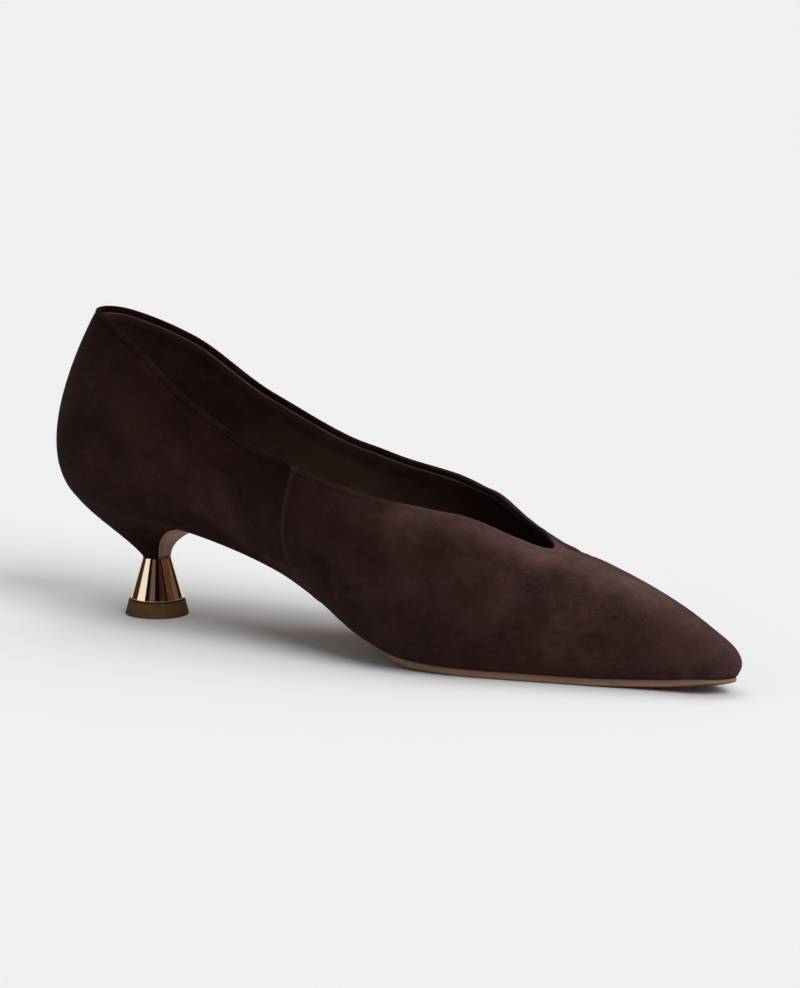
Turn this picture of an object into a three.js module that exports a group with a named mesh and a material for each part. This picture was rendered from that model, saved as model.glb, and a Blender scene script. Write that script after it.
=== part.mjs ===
// Kitten heel pump, the left shoe, standing empty on its heel tip and its forepart.
// Millimetres, +Z up. The origin is the middle of the heel tip's face on the floor, +X points to the
// toe and +Y to the outer side of the foot. The name of each size says what a maker would measure.
import * as THREE from 'three';
import { mergeVertices } from 'three/addons/utils/BufferGeometryUtils.js';

// Lengths and widths of the last, measured along its bottom edge
const LAST_LENGTH = 243;
const SEAT_WIDTH = 41;
const WAIST_WIDTH = 37;
const BALL_WIDTH = 63;
const TOE_WIDTH = 25;

// Heights of the last's bottom
const HEEL_HEIGHT = 34;
const TOE_SPRING = 4;

// The upper: heights are above its own bottom edge
const COUNTER_HEIGHT = 58;
const SIDE_HEIGHT = 45;
const VAMP_HEIGHT = 36;
const VAMP_LENGTH = 67;
const TOE_HEIGHT = 12.1;
const COLLAR_WIDTH = 50;
const WALL = 1.6;

// The strip of the upper that is turned in under the insole, beyond the wall
const LAP = 5;
const LAP_THICKNESS = 1.2;

// The sole leather: full under the forepart, thin and narrow under the waist, thinnest where the flap
// on the heel's breast ends. It starts to turn down that far ahead of the breast.
const SOLE = 2.6;
const WAIST_SOLE = 1.5;
const FLAP_SOLE = 1;
const SOLE_INSET = 1;
const WAIST_INSET = 5;
const FLAP_INSET = 0.5;
const BREAST_BEND = 2;

const INSOLE = 1.8;

// The heel, from the floor up
const HEEL_SET = 27;
const TIP_DIAMETER = 19.8;
const TIP_TOP_DIAMETER = 17.8;
const TIP_HEIGHT = 4.6;
const CONE_DIAMETER = 16.6;
const CONE_HEIGHT = 13.1;
const CONE_BEVEL = 0.5;
const NECK_DIAMETER = 8.8;
const SEAT_LENGTH = 48;
const SEAT_INSET = 0.6;

// The clearance kept between pieces that meet
const GAP = 0.3;

// Stations along the last, from 0 at the heel to 1 at the toe: the point of the V, the front end of the
// vamp's ridge, the end of the insole, and where the turned-in strip and the sole start to narrow
const THROAT = 0.65;
const POLE = 0.88;
const INSOLE_END = 0.965;
const LAP_NARROWS = 0.8;
const SOLE_NARROWS = 0.56;
const SOLE_NARROW = 0.47;

// Share of the way down the heel at which the flap has its full width
const FLAP_FULL = 0.5;

// Steps of each mesh; the point of the V has two closer stations behind it
const STATIONS = 40;
const RIB_STEPS = 12;
const THROAT_STEPS = [0.0125, 0.006];
const SLAB_STEPS = 4;
const HEEL_STATIONS = 18;
const HEEL_STEPS = 12;
const FLAP_STEPS = 14;
const ROUND_STEPS = 40;

// Corners this close together are one corner
const WELD = 1e-3;

const DEGREE = Math.PI / 180;

// A table is a line of column names and then its rows; it is read back column by column.
function table(names, rows) {
  const columns = {};
  names.split(' ').forEach((name, index) => {
    columns[name] = rows.map((row) => row[index]);
  });
  return columns;
}

// Rise of the bottom: 'heel' is a share of HEEL_HEIGHT and 'spring' a share of TOE_SPRING.
const BOTTOM = table('at heel spring', [
  [0.00, 1.000, 0.00],
  [0.10, 0.995, 0.00],
  [0.20, 0.965, 0.00],
  [0.30, 0.850, 0.00],
  [0.40, 0.550, 0.00],
  [0.45, 0.348, 0.00],
  [0.50, 0.140, 0.00],
  [0.55, 0.020, 0.00],
  [0.60, 0.000, 0.00],
  [0.70, 0.000, 0.00],
  [0.80, 0.000, 0.30],
  [0.90, 0.000, 0.77],
  [1.00, 0.000, 1.00],
]);

// Bottom edge: distance out from the middle line to the inner and outer side, as shares of the width
// named in the row. 'lean' is how far the wall leaves the upright there, in degrees, and 'low' is how
// far it holds that lean, as a share of the rib.
const EDGE = table('at width inner outer leanInner leanOuter lowInner lowOuter', [
  [0.00, SEAT_WIDTH, 0.000, 0.000, 44, 44, 0.33, 0.33],
  [0.10, SEAT_WIDTH, 0.325, 0.325, 43, 42, 0.33, 0.33],
  [0.20, SEAT_WIDTH, 0.495, 0.500, 38, 37, 0.33, 0.33],
  [0.30, SEAT_WIDTH, 0.450, 0.525, 38, 34, 0.33, 0.33],
  [0.40, WAIST_WIDTH, 0.370, 0.620, 50, 36, 0.34, 0.34],
  [0.45, WAIST_WIDTH, 0.470, 0.710, 54, 38, 0.34, 0.34],
  [0.50, BALL_WIDTH, 0.380, 0.480, 54, 38, 0.347, 0.33],
  [0.55, BALL_WIDTH, 0.445, 0.545, 50, 36, 0.369, 0.33],
  [0.60, BALL_WIDTH, 0.420, 0.560, 46, 34, 0.377, 0.32],
  [0.65, BALL_WIDTH, 0.350, 0.510, 42, 32, 0.36, 0.30],
  [0.70, BALL_WIDTH, 0.278, 0.420, 38, 32, 0.36, 0.31],
  [0.80, TOE_WIDTH, 0.420, 0.580, 34, 34, 0.36, 0.34],
  [0.90, TOE_WIDTH, 0.270, 0.285, 32, 32, 0.36, 0.36],
  [1.00, TOE_WIDTH, 0.000, 0.000, 30, 30, 0.36, 0.36],
]);

// Upper ends of the ribs: on the topline at the back and the sides, then over the open throat, as the
// last itself runs on there, to its middle line at the point of the V, and on along the ridge of the
// vamp. 'opening' and 'vamp' are shares of the lengths behind and ahead of the V, 'inner' and 'outer'
// of COLLAR_WIDTH, the rises of the height named in the row and 'toe' of TOE_HEIGHT, both above the
// bottom edge.
const CROWN = table('at opening vamp inner outer height riseInner riseOuter toe', [
  [0.00, 0.032, 0.000, 0.000, 0.000, COUNTER_HEIGHT, 1.006, 1.006, 0.000],
  [0.10, 0.070, 0.000, 0.160, 0.160, COUNTER_HEIGHT, 0.992, 0.984, 0.000],
  [0.20, 0.177, 0.000, 0.320, 0.330, COUNTER_HEIGHT, 0.891, 0.862, 0.000],
  [0.30, 0.326, 0.000, 0.420, 0.440, SIDE_HEIGHT, 0.900, 0.840, 0.000],
  [0.40, 0.509, 0.000, 0.480, 0.520, SIDE_HEIGHT, 0.846, 0.782, 0.000],
  [0.45, 0.601, 0.000, 0.482, 0.518, SIDE_HEIGHT, 0.956, 0.900, 0.000],
  [0.50, 0.696, 0.000, 0.452, 0.470, SIDE_HEIGHT, 1.098, 1.055, 0.000],
  [0.55, 0.791, 0.000, 0.284, 0.290, VAMP_HEIGHT, 1.502, 1.430, 0.000],
  [0.60, 0.885, 0.000, 0.084, 0.084, VAMP_HEIGHT, 1.300, 1.235, 0.000],
  [0.625, 0.944, 0.000, 0.028, 0.028, VAMP_HEIGHT, 1.095, 1.095, 0.000],
  [0.65, 1.000, 0.000, 0.000, 0.000, VAMP_HEIGHT, 0.957, 0.957, 0.000],
  [0.66, 1.000, 0.044, 0.000, 0.000, VAMP_HEIGHT, 0.942, 0.942, 0.020],
  [0.675, 1.000, 0.110, 0.000, 0.000, VAMP_HEIGHT, 0.917, 0.917, 0.060],
  [0.70, 1.000, 0.225, 0.000, 0.000, VAMP_HEIGHT, 0.828, 0.828, 0.165],
  [0.80, 1.000, 0.612, 0.000, 0.000, VAMP_HEIGHT, 0.425, 0.425, 0.570],
  [0.88, 1.000, 0.885, 0.000, 0.000, VAMP_HEIGHT, 0.000, 0.000, 1.000],
]);

// How the ribs arrive there: 'drop' is how far below the level the wall leaves its upper end and 'tilt'
// how far it is turned forward and down, in degrees; 'high' is how far it holds that, as a share of
// the rib.
const CREST = table('at dropInner dropOuter highInner highOuter tilt', [
  [0.00, 61, 61, 0.33, 0.33, 0],
  [0.10, 63, 63, 0.33, 0.33, 0],
  [0.20, 70, 70, 0.33, 0.33, 0],
  [0.30, 74, 74, 0.33, 0.33, 0],
  [0.40, 76, 76, 0.34, 0.33, 3],
  [0.45, 67, 73, 0.33, 0.31, 6],
  [0.50, 55, 62, 0.31, 0.30, 10],
  [0.55, 27, 36, 0.31, 0.29, 14],
  [0.60, 7, 10, 0.43, 0.32, 18],
  [0.65, 0, 0, 0.55, 0.43, 20],
  [0.70, 0, 0, 0.53, 0.45, 20],
  [0.80, 0, 0, 0.48, 0.44, 24],
  [0.88, 0, 0, 0.42, 0.42, 30],
]);

// The share of the rib at which the topline cuts it, from the side to the point of the V
const TOPLINE = table('at inner outer', [
  [0.40, 1.000, 1.000],
  [0.45, 0.950, 0.950],
  [0.50, 0.897, 0.907],
  [0.55, 0.802, 0.825],
  [0.60, 0.837, 0.825],
  [0.625, 0.895, 0.865],
  [0.64, 0.945, 0.915],
  [0.65, 1.000, 1.000],
]);

// The heel's ribs, from the back to the breast: how far the seat end and the neck end hold their line,
// as shares of the way in and of the way down.
const HEEL_RIBS = table('at seatIn seatDown neckOut neckUp', [
  [0.00, 0.28, 0.38, 0.28, 0.36],
  [0.50, 0.28, 0.36, 0.28, 0.38],
  [0.80, 0.33, 0.25, 0.16, 0.48],
  [1.00, 0.45, 0.12, 0.00, 0.62],
]);

const mix = (from, to, share) => from + (to - from) * share;
const clamp = (value, low, high) => Math.min(Math.max(value, low), high);

function smoothStep(from, to, value) {
  const share = clamp((value - from) / (to - from), 0, 1);
  return share * share * (3 - 2 * share);
}

// Smooth curve through a column. Past each end the column is mirrored ('even'), turned over ('odd') or
// carried straight on ('free'). 'level' keeps it flat between equal rows and free of overshoot.
function curve(at, values, station, start = 'even', end = 'even', level = false) {
  const last = at.length - 1;
  const place = clamp(station, at[0], at[last]);
  let row = 0;
  while (row < last - 1 && place > at[row + 1]) row += 1;
  const step = (index) => (values[index + 1] - values[index]) / (at[index + 1] - at[index]);
  const slope = (index) => {
    if (index === 0 || index === last) {
      const rule = index === 0 ? start : end;
      const near = index === 0 ? step(0) : step(last - 1);
      if (rule === 'even') return 0;
      return near;
    }
    const before = step(index - 1);
    const after = step(index);
    const width = at[index + 1] - at[index - 1];
    if (level) {
      return before * after <= 0 ? 0 : (2 * before * after) / (before + after);
    }
    return (before * (at[index + 1] - at[index]) + after * (at[index] - at[index - 1])) / width;
  };
  const span = at[row + 1] - at[row];
  const t = (place - at[row]) / span;
  const s = 1 - t;
  return (1 + 2 * t) * s * s * values[row] + t * s * s * span * slope(row)
    + t * t * (3 - 2 * t) * values[row + 1] - t * t * s * span * slope(row + 1);
}

// Rows close together at both ends of the shoe, so that the heel and the toe come out round
const alongAt = (station) => LAST_LENGTH * (1 - Math.cos(Math.PI * station)) / 2;
const stationAt = (along) => Math.acos(1 - 2 * clamp(along / LAST_LENGTH, 0, 1)) / Math.PI;

// Height of the bottom edge above the floor, at a distance from the back of the shoe
function bottomAt(along) {
  const station = stationAt(along);
  const heel = curve(BOTTOM.at, BOTTOM.heel, station, 'even', 'even', true);
  const spring = curve(BOTTOM.at, BOTTOM.spring, station, 'even', 'even', true);
  return SOLE + GAP + HEEL_HEIGHT * heel + TOE_SPRING * spring;
}

const scaled = (columns, name, size) => columns[name].map((share, row) => share * columns[size][row]);
const EDGE_OUT = { '-1': scaled(EDGE, 'inner', 'width'), 1: scaled(EDGE, 'outer', 'width') };
const CROWN_ALONG = CROWN.opening.map((share, row) => (
  (LAST_LENGTH - VAMP_LENGTH) * share + VAMP_LENGTH * CROWN.vamp[row]));
const CROWN_OUT = { '-1': CROWN.inner, 1: CROWN.outer };
const CROWN_RISE = { '-1': scaled(CROWN, 'riseInner', 'height'), 1: scaled(CROWN, 'riseOuter', 'height') };
const SIDE_NAME = { '-1': 'Inner', 1: 'Outer' };
const CUT = { '-1': TOPLINE.inner, 1: TOPLINE.outer };

// A point of the bottom edge; side is -1 for the inner and 1 for the outer side
function edgePoint(station, side) {
  const along = alongAt(station);
  const out = curve(EDGE.at, EDGE_OUT[side], station, 'odd', 'odd');
  return new THREE.Vector3(along - HEEL_SET, side * out, bottomAt(along));
}

// The level direction that points out of the shoe, square to the bottom edge
function edgeNormal(station, side) {
  if (station <= 0) return new THREE.Vector3(-1, 0, 0);
  if (station >= 1) return new THREE.Vector3(1, 0, 0);
  const reach = 1e-4;
  const before = edgePoint(Math.max(station - reach, 0), side);
  const after = edgePoint(Math.min(station + reach, 1), side);
  const run = after.sub(before);
  return new THREE.Vector3(-run.y * side, run.x * side, 0).normalize();
}

// The upper end of a rib of the last; ahead of the throat it lies on the middle line
function crownPoint(station, side) {
  const place = Math.min(station, POLE);
  const along = curve(CROWN.at, CROWN_ALONG, place, 'even', 'free');
  const out = COLLAR_WIDTH * curve(CROWN.at, CROWN_OUT[side], place, 'odd', 'even', true);
  const rise = curve(CROWN.at, CROWN_RISE[side], place, 'even', 'free')
    + TOE_HEIGHT * curve(CROWN.at, CROWN.toe, place, 'even', 'free');
  return new THREE.Vector3(along - HEEL_SET, side * out, bottomAt(alongAt(place)) + rise);
}

// The topline cuts the ribs of the throat short
function cutShare(station, side) {
  return curve(TOPLINE.at, CUT[side], station, 'even', 'free');
}

// The outer face of the upper: each rib is a cubic curve from the bottom edge towards the crown, as far
// as the topline
function upperPoint(station, side, share) {
  const name = SIDE_NAME[side];
  const foot = edgePoint(station, side);
  const head = crownPoint(station, side);
  const normal = edgeNormal(station, side);
  const chord = head.distanceTo(foot);
  const place = Math.min(station, POLE);
  const lean = DEGREE * curve(EDGE.at, EDGE[`lean${name}`], station);
  const low = chord * curve(EDGE.at, EDGE[`low${name}`], station);
  const drop = DEGREE * curve(CREST.at, CREST[`drop${name}`], place, 'even', 'free');
  const high = chord * curve(CREST.at, CREST[`high${name}`], place, 'even', 'free');
  const tilt = DEGREE * curve(CREST.at, CREST.tilt, place, 'even', 'free');
  const footPull = normal.clone().multiplyScalar(Math.sin(lean)).setZ(Math.cos(lean));
  const headPull = new THREE.Vector3(normal.x * Math.cos(tilt), normal.y, -normal.x * Math.sin(tilt));
  headPull.multiplyScalar(Math.cos(drop));
  headPull.z -= Math.sin(drop);
  const first = foot.clone().addScaledVector(footPull, low);
  const second = head.clone().addScaledVector(headPull, high);
  return bezier(foot, first, second, head, share * cutShare(station, side));
}

function bezier(a, b, c, d, t) {
  const s = 1 - t;
  return a.clone().multiplyScalar(s * s * s)
    .addScaledVector(b, 3 * s * s * t)
    .addScaledVector(c, 3 * s * t * t)
    .addScaledVector(d, t * t * t);
}

// The same face by one number that runs all round the shoe: -1 to 0 is the inner side, from the toe
// back to the heel, and 0 to 1 the outer side, from the heel forward to the toe
function roundPoint(turn, share) {
  const turned = turn > 1 ? turn - 2 : (turn < -1 ? turn + 2 : turn);
  return upperPoint(Math.abs(turned), turned < 0 ? -1 : 1, share);
}

// The direction out of the upper's outer face, square to it
function upperNormal(turn, share) {
  const reach = 1e-3;
  const station = Math.abs(turn);
  if (share >= 1 && station >= THROAT) {
    const place = Math.min(station, POLE - reach);
    const run = crownPoint(place + reach, 1).sub(crownPoint(place, 1));
    return new THREE.Vector3(-run.z, 0, run.x).normalize();
  }
  const around = roundPoint(turn + reach, share).sub(roundPoint(turn - reach, share));
  const low = Math.max(share - reach, 0);
  const high = Math.min(share + reach, 1);
  const up = roundPoint(turn, high).sub(roundPoint(turn, low));
  return around.cross(up).negate().normalize();
}

// The inner face lies one wall inside the outer one, and ends on the turned-in strip
function innerPoint(turn, share) {
  if (share <= 0) {
    const side = turn < 0 ? -1 : 1;
    return bottomPoint(Math.abs(turn), side, wallInset(Math.abs(turn), side), LAP_THICKNESS);
  }
  return roundPoint(turn, share).addScaledVector(upperNormal(turn, share), -WALL);
}

// How far inside the bottom edge the inner face meets the top of the turned-in strip
function wallInset(station, side) {
  const lean = DEGREE * curve(EDGE.at, EDGE[`lean${SIDE_NAME[side]}`], station);
  return WALL / Math.cos(lean) - LAP_THICKNESS * Math.tan(lean);
}

// How far inside the bottom edge the turned-in strip ends; it runs out at the toe
function lapInset(station, side) {
  return wallInset(station, side) + LAP_THICKNESS + LAP * smoothStep(1, LAP_NARROWS, station);
}

// A point set in from the bottom edge, and lifted from the plane of that edge
function bottomPoint(station, side, inset, lift) {
  const point = edgePoint(station, side).addScaledVector(edgeNormal(station, side), -inset);
  point.z = bottomAt(point.x + HEEL_SET) + lift;
  return point;
}

// Triangles are collected here as corner points, welded, and freed of those that have no area
class Shell {
  constructor() {
    this.points = [];
  }

  triangle(a, b, c) {
    this.points.push(a.x, a.y, a.z, b.x, b.y, b.z, c.x, c.y, c.z);
  }

  quad(a, b, c, d) {
    if (a.distanceToSquared(c) <= b.distanceToSquared(d)) {
      this.triangle(a, b, c);
      this.triangle(a, c, d);
    } else {
      this.triangle(b, c, d);
      this.triangle(b, d, a);
    }
  }

  grid(rows) {
    for (let i = 0; i + 1 < rows.length; i += 1) {
      for (let j = 0; j + 1 < rows[i].length; j += 1) {
        this.quad(rows[i][j], rows[i + 1][j], rows[i + 1][j + 1], rows[i][j + 1]);
      }
    }
  }

  geometry() {
    const loose = new THREE.BufferGeometry();
    loose.setAttribute('position', new THREE.Float32BufferAttribute(this.points, 3));
    return welded(loose);
  }
}

// Corners that lie together become one, and triangles that have no area are dropped
function welded(geometry) {
  geometry.deleteAttribute('normal');
  geometry.deleteAttribute('uv');
  const merged = mergeVertices(geometry, WELD);
  const index = merged.index.array;
  const kept = [];
  for (let i = 0; i < index.length; i += 3) {
    const [a, b, c] = [index[i], index[i + 1], index[i + 2]];
    if (a !== b && b !== c && c !== a) kept.push(a, b, c);
  }
  merged.setIndex(kept);
  merged.computeVertexNormals();
  return merged;
}

const reversed = (rows) => rows.map((row) => [...row].reverse());

function upperGeometry() {
  const outer = [];
  const inner = [];
  const forward = Array.from({ length: STATIONS + 1 }, (_, i) => i / STATIONS);
  THROAT_STEPS.forEach((step) => forward.push(THROAT - step));
  forward.sort((a, b) => a - b);
  const turns = [...forward.slice(1).map((station) => -station).reverse(), ...forward];
  turns.forEach((turn) => {
    const side = turn < 0 ? -1 : 1;
    const lap = lapInset(Math.abs(turn), side);
    const outerRow = [];
    const innerRow = [
      bottomPoint(Math.abs(turn), side, lap, 0),
      bottomPoint(Math.abs(turn), side, lap, LAP_THICKNESS),
    ];
    for (let j = 0; j <= RIB_STEPS; j += 1) {
      const share = j / RIB_STEPS;
      outerRow.push(roundPoint(turn, share));
      innerRow.push(innerPoint(turn, share));
    }
    outer.push(outerRow);
    inner.push(innerRow);
  });
  const shell = new Shell();
  shell.grid(reversed(outer));
  shell.grid(inner);
  shell.grid(outer.map((row, i) => [row[0], inner[i][0]]));
  const collar = [];
  turns.forEach((turn, i) => {
    if (Math.abs(turn) <= THROAT) collar.push([inner[i][RIB_STEPS + 2], outer[i][RIB_STEPS]]);
  });
  shell.grid(collar);
  return shell.geometry();
}

// A row of points across the shoe, from the inner to the outer side
function acrossRow(innerEnd, outerEnd) {
  const row = [];
  for (let j = 0; j <= SLAB_STEPS; j += 1) {
    row.push(innerEnd.clone().lerp(outerEnd, j / SLAB_STEPS));
  }
  return row;
}

// A slab between an upper and a lower face, both given as rows across it
function slabGeometry(over, under) {
  const shell = new Shell();
  const end = over[0].length - 1;
  shell.grid(over);
  shell.grid(reversed(under));
  shell.grid(over.map((row, i) => [under[i][0], row[0]]));
  shell.grid(over.map((row, i) => [row[end], under[i][end]]));
  shell.grid([under[0], over[0]]);
  shell.grid([over[over.length - 1], under[under.length - 1]]);
  return shell.geometry();
}

// The insole board lies on the turned-in strip, a clearance inside the wall
function insoleGeometry() {
  const over = [];
  const under = [];
  for (let i = 0; i <= STATIONS; i += 1) {
    const station = INSOLE_END * i / STATIONS;
    const lift = LAP_THICKNESS + GAP;
    const ends = [-1, 1].map((side) => bottomPoint(station, side, wallInset(station, side) + GAP, lift));
    const row = acrossRow(ends[0], ends[1]);
    under.push(row);
    over.push(row.map((point) => point.clone().setZ(point.z + INSOLE)));
  }
  return slabGeometry(over, under);
}

const NECK_LEVEL = TIP_HEIGHT + CONE_HEIGHT + 2 * GAP;
const NECK_RADIUS = NECK_DIAMETER / 2;

// The heel's flank: ribs from the seat, under the upper's bottom edge, down to the round neck
function heelPoint(share, side, down) {
  const station = share * stationAt(SEAT_LENGTH);
  const seat = bottomPoint(station, side, SEAT_INSET, -GAP);
  const bearing = Math.atan2(seat.y, seat.x);
  const neck = new THREE.Vector3(Math.cos(bearing), Math.sin(bearing), 0).multiplyScalar(NECK_RADIUS);
  neck.z = NECK_LEVEL;
  const way = neck.clone().sub(seat);
  const part = (level, upright) => {
    const levelShare = curve(HEEL_RIBS.at, HEEL_RIBS[level], share, 'even', 'free');
    const uprightShare = curve(HEEL_RIBS.at, HEEL_RIBS[upright], share, 'even', 'free');
    return new THREE.Vector3(way.x * levelShare, way.y * levelShare, way.z * uprightShare);
  };
  const first = seat.clone().add(part('seatIn', 'seatDown'));
  const second = neck.clone().sub(part('neckOut', 'neckUp'));
  return bezier(seat, first, second, neck, down);
}

function heelBlockGeometry() {
  const shell = new Shell();
  const flank = (side) => {
    const rows = [];
    for (let i = 0; i <= HEEL_STATIONS; i += 1) {
      const row = [];
      for (let j = 0; j <= HEEL_STEPS; j += 1) {
        row.push(heelPoint(i / HEEL_STATIONS, side, j / HEEL_STEPS));
      }
      rows.push(row);
    }
    return rows;
  };
  const inner = flank(-1);
  const outer = flank(1);
  const seat = inner.map((row, i) => acrossRow(row[0], outer[i][0]));
  const neck = inner.map((row, i) => acrossRow(row[HEEL_STEPS], outer[i][HEEL_STEPS]));
  const breast = inner[HEEL_STATIONS].map((point, j) => acrossRow(point, outer[HEEL_STATIONS][j]));
  shell.grid(reversed(inner));
  shell.grid(outer);
  shell.grid(seat);
  shell.grid(reversed(neck));
  shell.grid(breast);
  return shell.geometry();
}

// The sole leather runs from the toe along the bottom, and on down the breast of the heel
function outsoleGeometry() {
  const rows = [];
  const breast = stationAt(SEAT_LENGTH + BREAST_BEND);
  for (let i = 0; i <= STATIONS; i += 1) {
    const station = mix(1, breast, i / STATIONS);
    const waist = smoothStep(SOLE_NARROWS, SOLE_NARROW, station);
    const inset = mix(SOLE_INSET, WAIST_INSET, waist);
    rows.push({
      inner: bottomPoint(station, -1, inset, -GAP),
      outer: bottomPoint(station, 1, inset, -GAP),
      thickness: mix(SOLE, WAIST_SOLE, waist),
      lift: 0,
    });
  }
  for (let j = 0; j <= FLAP_STEPS; j += 1) {
    const down = j / FLAP_STEPS;
    const inset = mix(WAIST_INSET - SEAT_INSET, FLAP_INSET, smoothStep(0, FLAP_FULL, down));
    const inner = heelPoint(1, -1, down);
    const outer = heelPoint(1, 1, down);
    inner.y += inset;
    outer.y -= inset;
    rows.push({ inner, outer, thickness: mix(WAIST_SOLE, FLAP_SOLE, down), lift: GAP });
  }
  const middle = (row) => row.inner.clone().add(row.outer).multiplyScalar(0.5);
  const over = [];
  const under = [];
  rows.forEach((row, i) => {
    const before = middle(rows[Math.max(i - 1, 0)]);
    const after = middle(rows[Math.min(i + 1, rows.length - 1)]);
    const run = after.sub(before);
    const facing = new THREE.Vector3(-run.z, 0, run.x).normalize();
    const line = acrossRow(row.inner, row.outer);
    const layer = (depth) => line.map((point) => {
      const moved = point.clone().addScaledVector(facing, depth);
      if (row.lift > 0) moved.z = Math.max(moved.z, NECK_LEVEL);
      return moved;
    });
    over.push(layer(row.lift));
    under.push(layer(row.lift + row.thickness));
  });
  return slabGeometry(reversed(over), reversed(under));
}

// A round piece turned about the heel's axis, from a profile of radius and height
function turnedGeometry(profile) {
  const outline = profile.map(([radius, height]) => new THREE.Vector2(radius, height));
  const lathe = new THREE.LatheGeometry(outline, ROUND_STEPS).rotateX(Math.PI / 2);
  return welded(lathe);
}

function heelTipGeometry() {
  return turnedGeometry([
    [0, 0],
    [TIP_DIAMETER / 2, 0],
    [TIP_TOP_DIAMETER / 2, TIP_HEIGHT],
    [0, TIP_HEIGHT],
  ]);
}

function heelConeGeometry() {
  const foot = TIP_HEIGHT + GAP;
  return turnedGeometry([
    [0, foot],
    [CONE_DIAMETER / 2 - CONE_BEVEL, foot],
    [CONE_DIAMETER / 2, foot + CONE_BEVEL],
    [NECK_RADIUS, foot + CONE_HEIGHT],
    [0, foot + CONE_HEIGHT],
  ]);
}

const suede = new THREE.MeshStandardMaterial({ color: 0x3a2625, roughness: 0.95, metalness: 0 });
const lining = new THREE.MeshStandardMaterial({ color: 0x4a3029, roughness: 0.6, metalness: 0 });
const leather = new THREE.MeshStandardMaterial({ color: 0x8a6248, roughness: 0.55, metalness: 0 });
const gold = new THREE.MeshStandardMaterial({ color: 0xd9a86c, roughness: 0.15, metalness: 1 });
const rubber = new THREE.MeshStandardMaterial({ color: 0x4a3220, roughness: 0.7, metalness: 0 });

function piece(name, geometry, material) {
  const mesh = new THREE.Mesh(geometry, material);
  mesh.name = name;
  return mesh;
}

const shoe = new THREE.Group();
shoe.add(piece('upper', upperGeometry(), suede));
shoe.add(piece('insole', insoleGeometry(), lining));
shoe.add(piece('outsole', outsoleGeometry(), leather));
shoe.add(piece('heel_block', heelBlockGeometry(), suede));
shoe.add(piece('heel_cone', heelConeGeometry(), gold));
shoe.add(piece('heel_tip', heelTipGeometry(), rubber));

export default shoe;
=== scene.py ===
"""Kitten heel pump: the looks of one left shoe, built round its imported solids.

Every surface is worked out with numpy from the shoe's own sizes, in metres. The origin is the middle of the
heel tip's face on the floor, +X points to the toe, +Y to the outer side of the foot and +Z up.
"""

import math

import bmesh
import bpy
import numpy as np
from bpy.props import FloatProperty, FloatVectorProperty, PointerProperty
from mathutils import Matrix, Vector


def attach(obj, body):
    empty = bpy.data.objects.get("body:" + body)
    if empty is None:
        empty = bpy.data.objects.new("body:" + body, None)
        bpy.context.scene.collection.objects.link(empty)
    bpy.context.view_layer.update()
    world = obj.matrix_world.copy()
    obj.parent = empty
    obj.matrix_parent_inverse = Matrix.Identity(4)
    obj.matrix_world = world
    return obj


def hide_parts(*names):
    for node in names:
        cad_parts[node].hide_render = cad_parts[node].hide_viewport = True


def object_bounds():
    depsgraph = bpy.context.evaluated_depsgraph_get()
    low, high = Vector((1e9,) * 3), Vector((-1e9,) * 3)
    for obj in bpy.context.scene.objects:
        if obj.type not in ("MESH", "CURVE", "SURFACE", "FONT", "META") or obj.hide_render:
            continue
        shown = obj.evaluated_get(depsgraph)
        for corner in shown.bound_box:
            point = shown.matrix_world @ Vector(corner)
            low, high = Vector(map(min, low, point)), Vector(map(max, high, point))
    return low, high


bl_info = {
    "name": "Kitten Heel Pump",
    "version": (1, 0, 0),
    "blender": (4, 5, 0),
    "location": "3D View > Sidebar > Pump",
    "description": "Builds a left suede pump with a deep V throat and a low metal heel",
    "category": "Add Mesh",
}

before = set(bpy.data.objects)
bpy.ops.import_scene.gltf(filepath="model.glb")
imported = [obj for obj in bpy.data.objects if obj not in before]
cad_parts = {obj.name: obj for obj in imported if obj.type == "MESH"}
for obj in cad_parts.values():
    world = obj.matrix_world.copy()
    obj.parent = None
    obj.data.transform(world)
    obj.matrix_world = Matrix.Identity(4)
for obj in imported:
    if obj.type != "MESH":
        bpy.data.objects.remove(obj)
CAD_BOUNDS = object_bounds()

# Stations along the last, from 0 at the heel to 1 at the toe: the point of the V, the pole at which the ribs
# of the toe run together, and the front of the insole
THROAT = 0.65
POLE = 0.88
INSOLE_END = 0.965

# The turned-in strip has its full width up to this station
LAP_NARROWS = 0.8

# The sole has its waist's width up to the first of these stations and its full width from the second on
SOLE_NARROW = 0.47
SOLE_NARROWS = 0.56

# The sole thins towards the toe between these stations, and its dark foot, partly dark dressing and partly
# painted shadow under the lifted toe, climbs between the next two
TOE_THINS = 0.84
TOE_THIN = 0.97
SHADED_FOOT_CLIMBS = 0.80
SHADED_FOOT_HIGH = 0.90

# The collar's edge looks as it does on the quarter up to the first of these stations, and as it does on the
# vamp from the second on
QUARTER_ENDS = 0.40
VAMP_STARTS = 0.52

# The collar's rolled edge is plain up to the first of these stations, and worn and painted with a highlight
# from the second on
RUB_AND_LIGHT_STARTS = 0.24
RUB_AND_LIGHT_FULL = 0.34

# The lip beside the V, on the inner side, rises between the first two turns, seen from the heel, and between
# the other two, seen from the toe
LIP_BACK = (-0.53, -0.60)
LIP_FRONT = (-0.655, -0.630)

# The side seam's middle, how far from it the grid's rows bend with it, and how far closer rows lie beside it
SEAM_MIDDLE = 0.428
SEAM_REACH = 0.12
SEAM_ROWS = 0.0045

# Share of the way down the heel at which the flap has its full width, and up to which the heel's cover is
# drawn out to the upper
FLAP_FULL = 0.3
COVER_DRAWN = 0.35

# How far round from straight back the neck's points lie, as a share of how far their seat points do
NECK_BEARING = 0.882

# Steps of the wall's grid from the bottom edge to the collar, and how many of them the inner face keeps
WALL_STEPS = 96
INNER_STEPS = 25

# Corners closer than this, in metres, become one
WELD = 4e-6

# Distance from the collar's edge to the fine groove under the fold, where the lining ends too, in metres
FOLD_WIDTH = 0.0019


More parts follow.
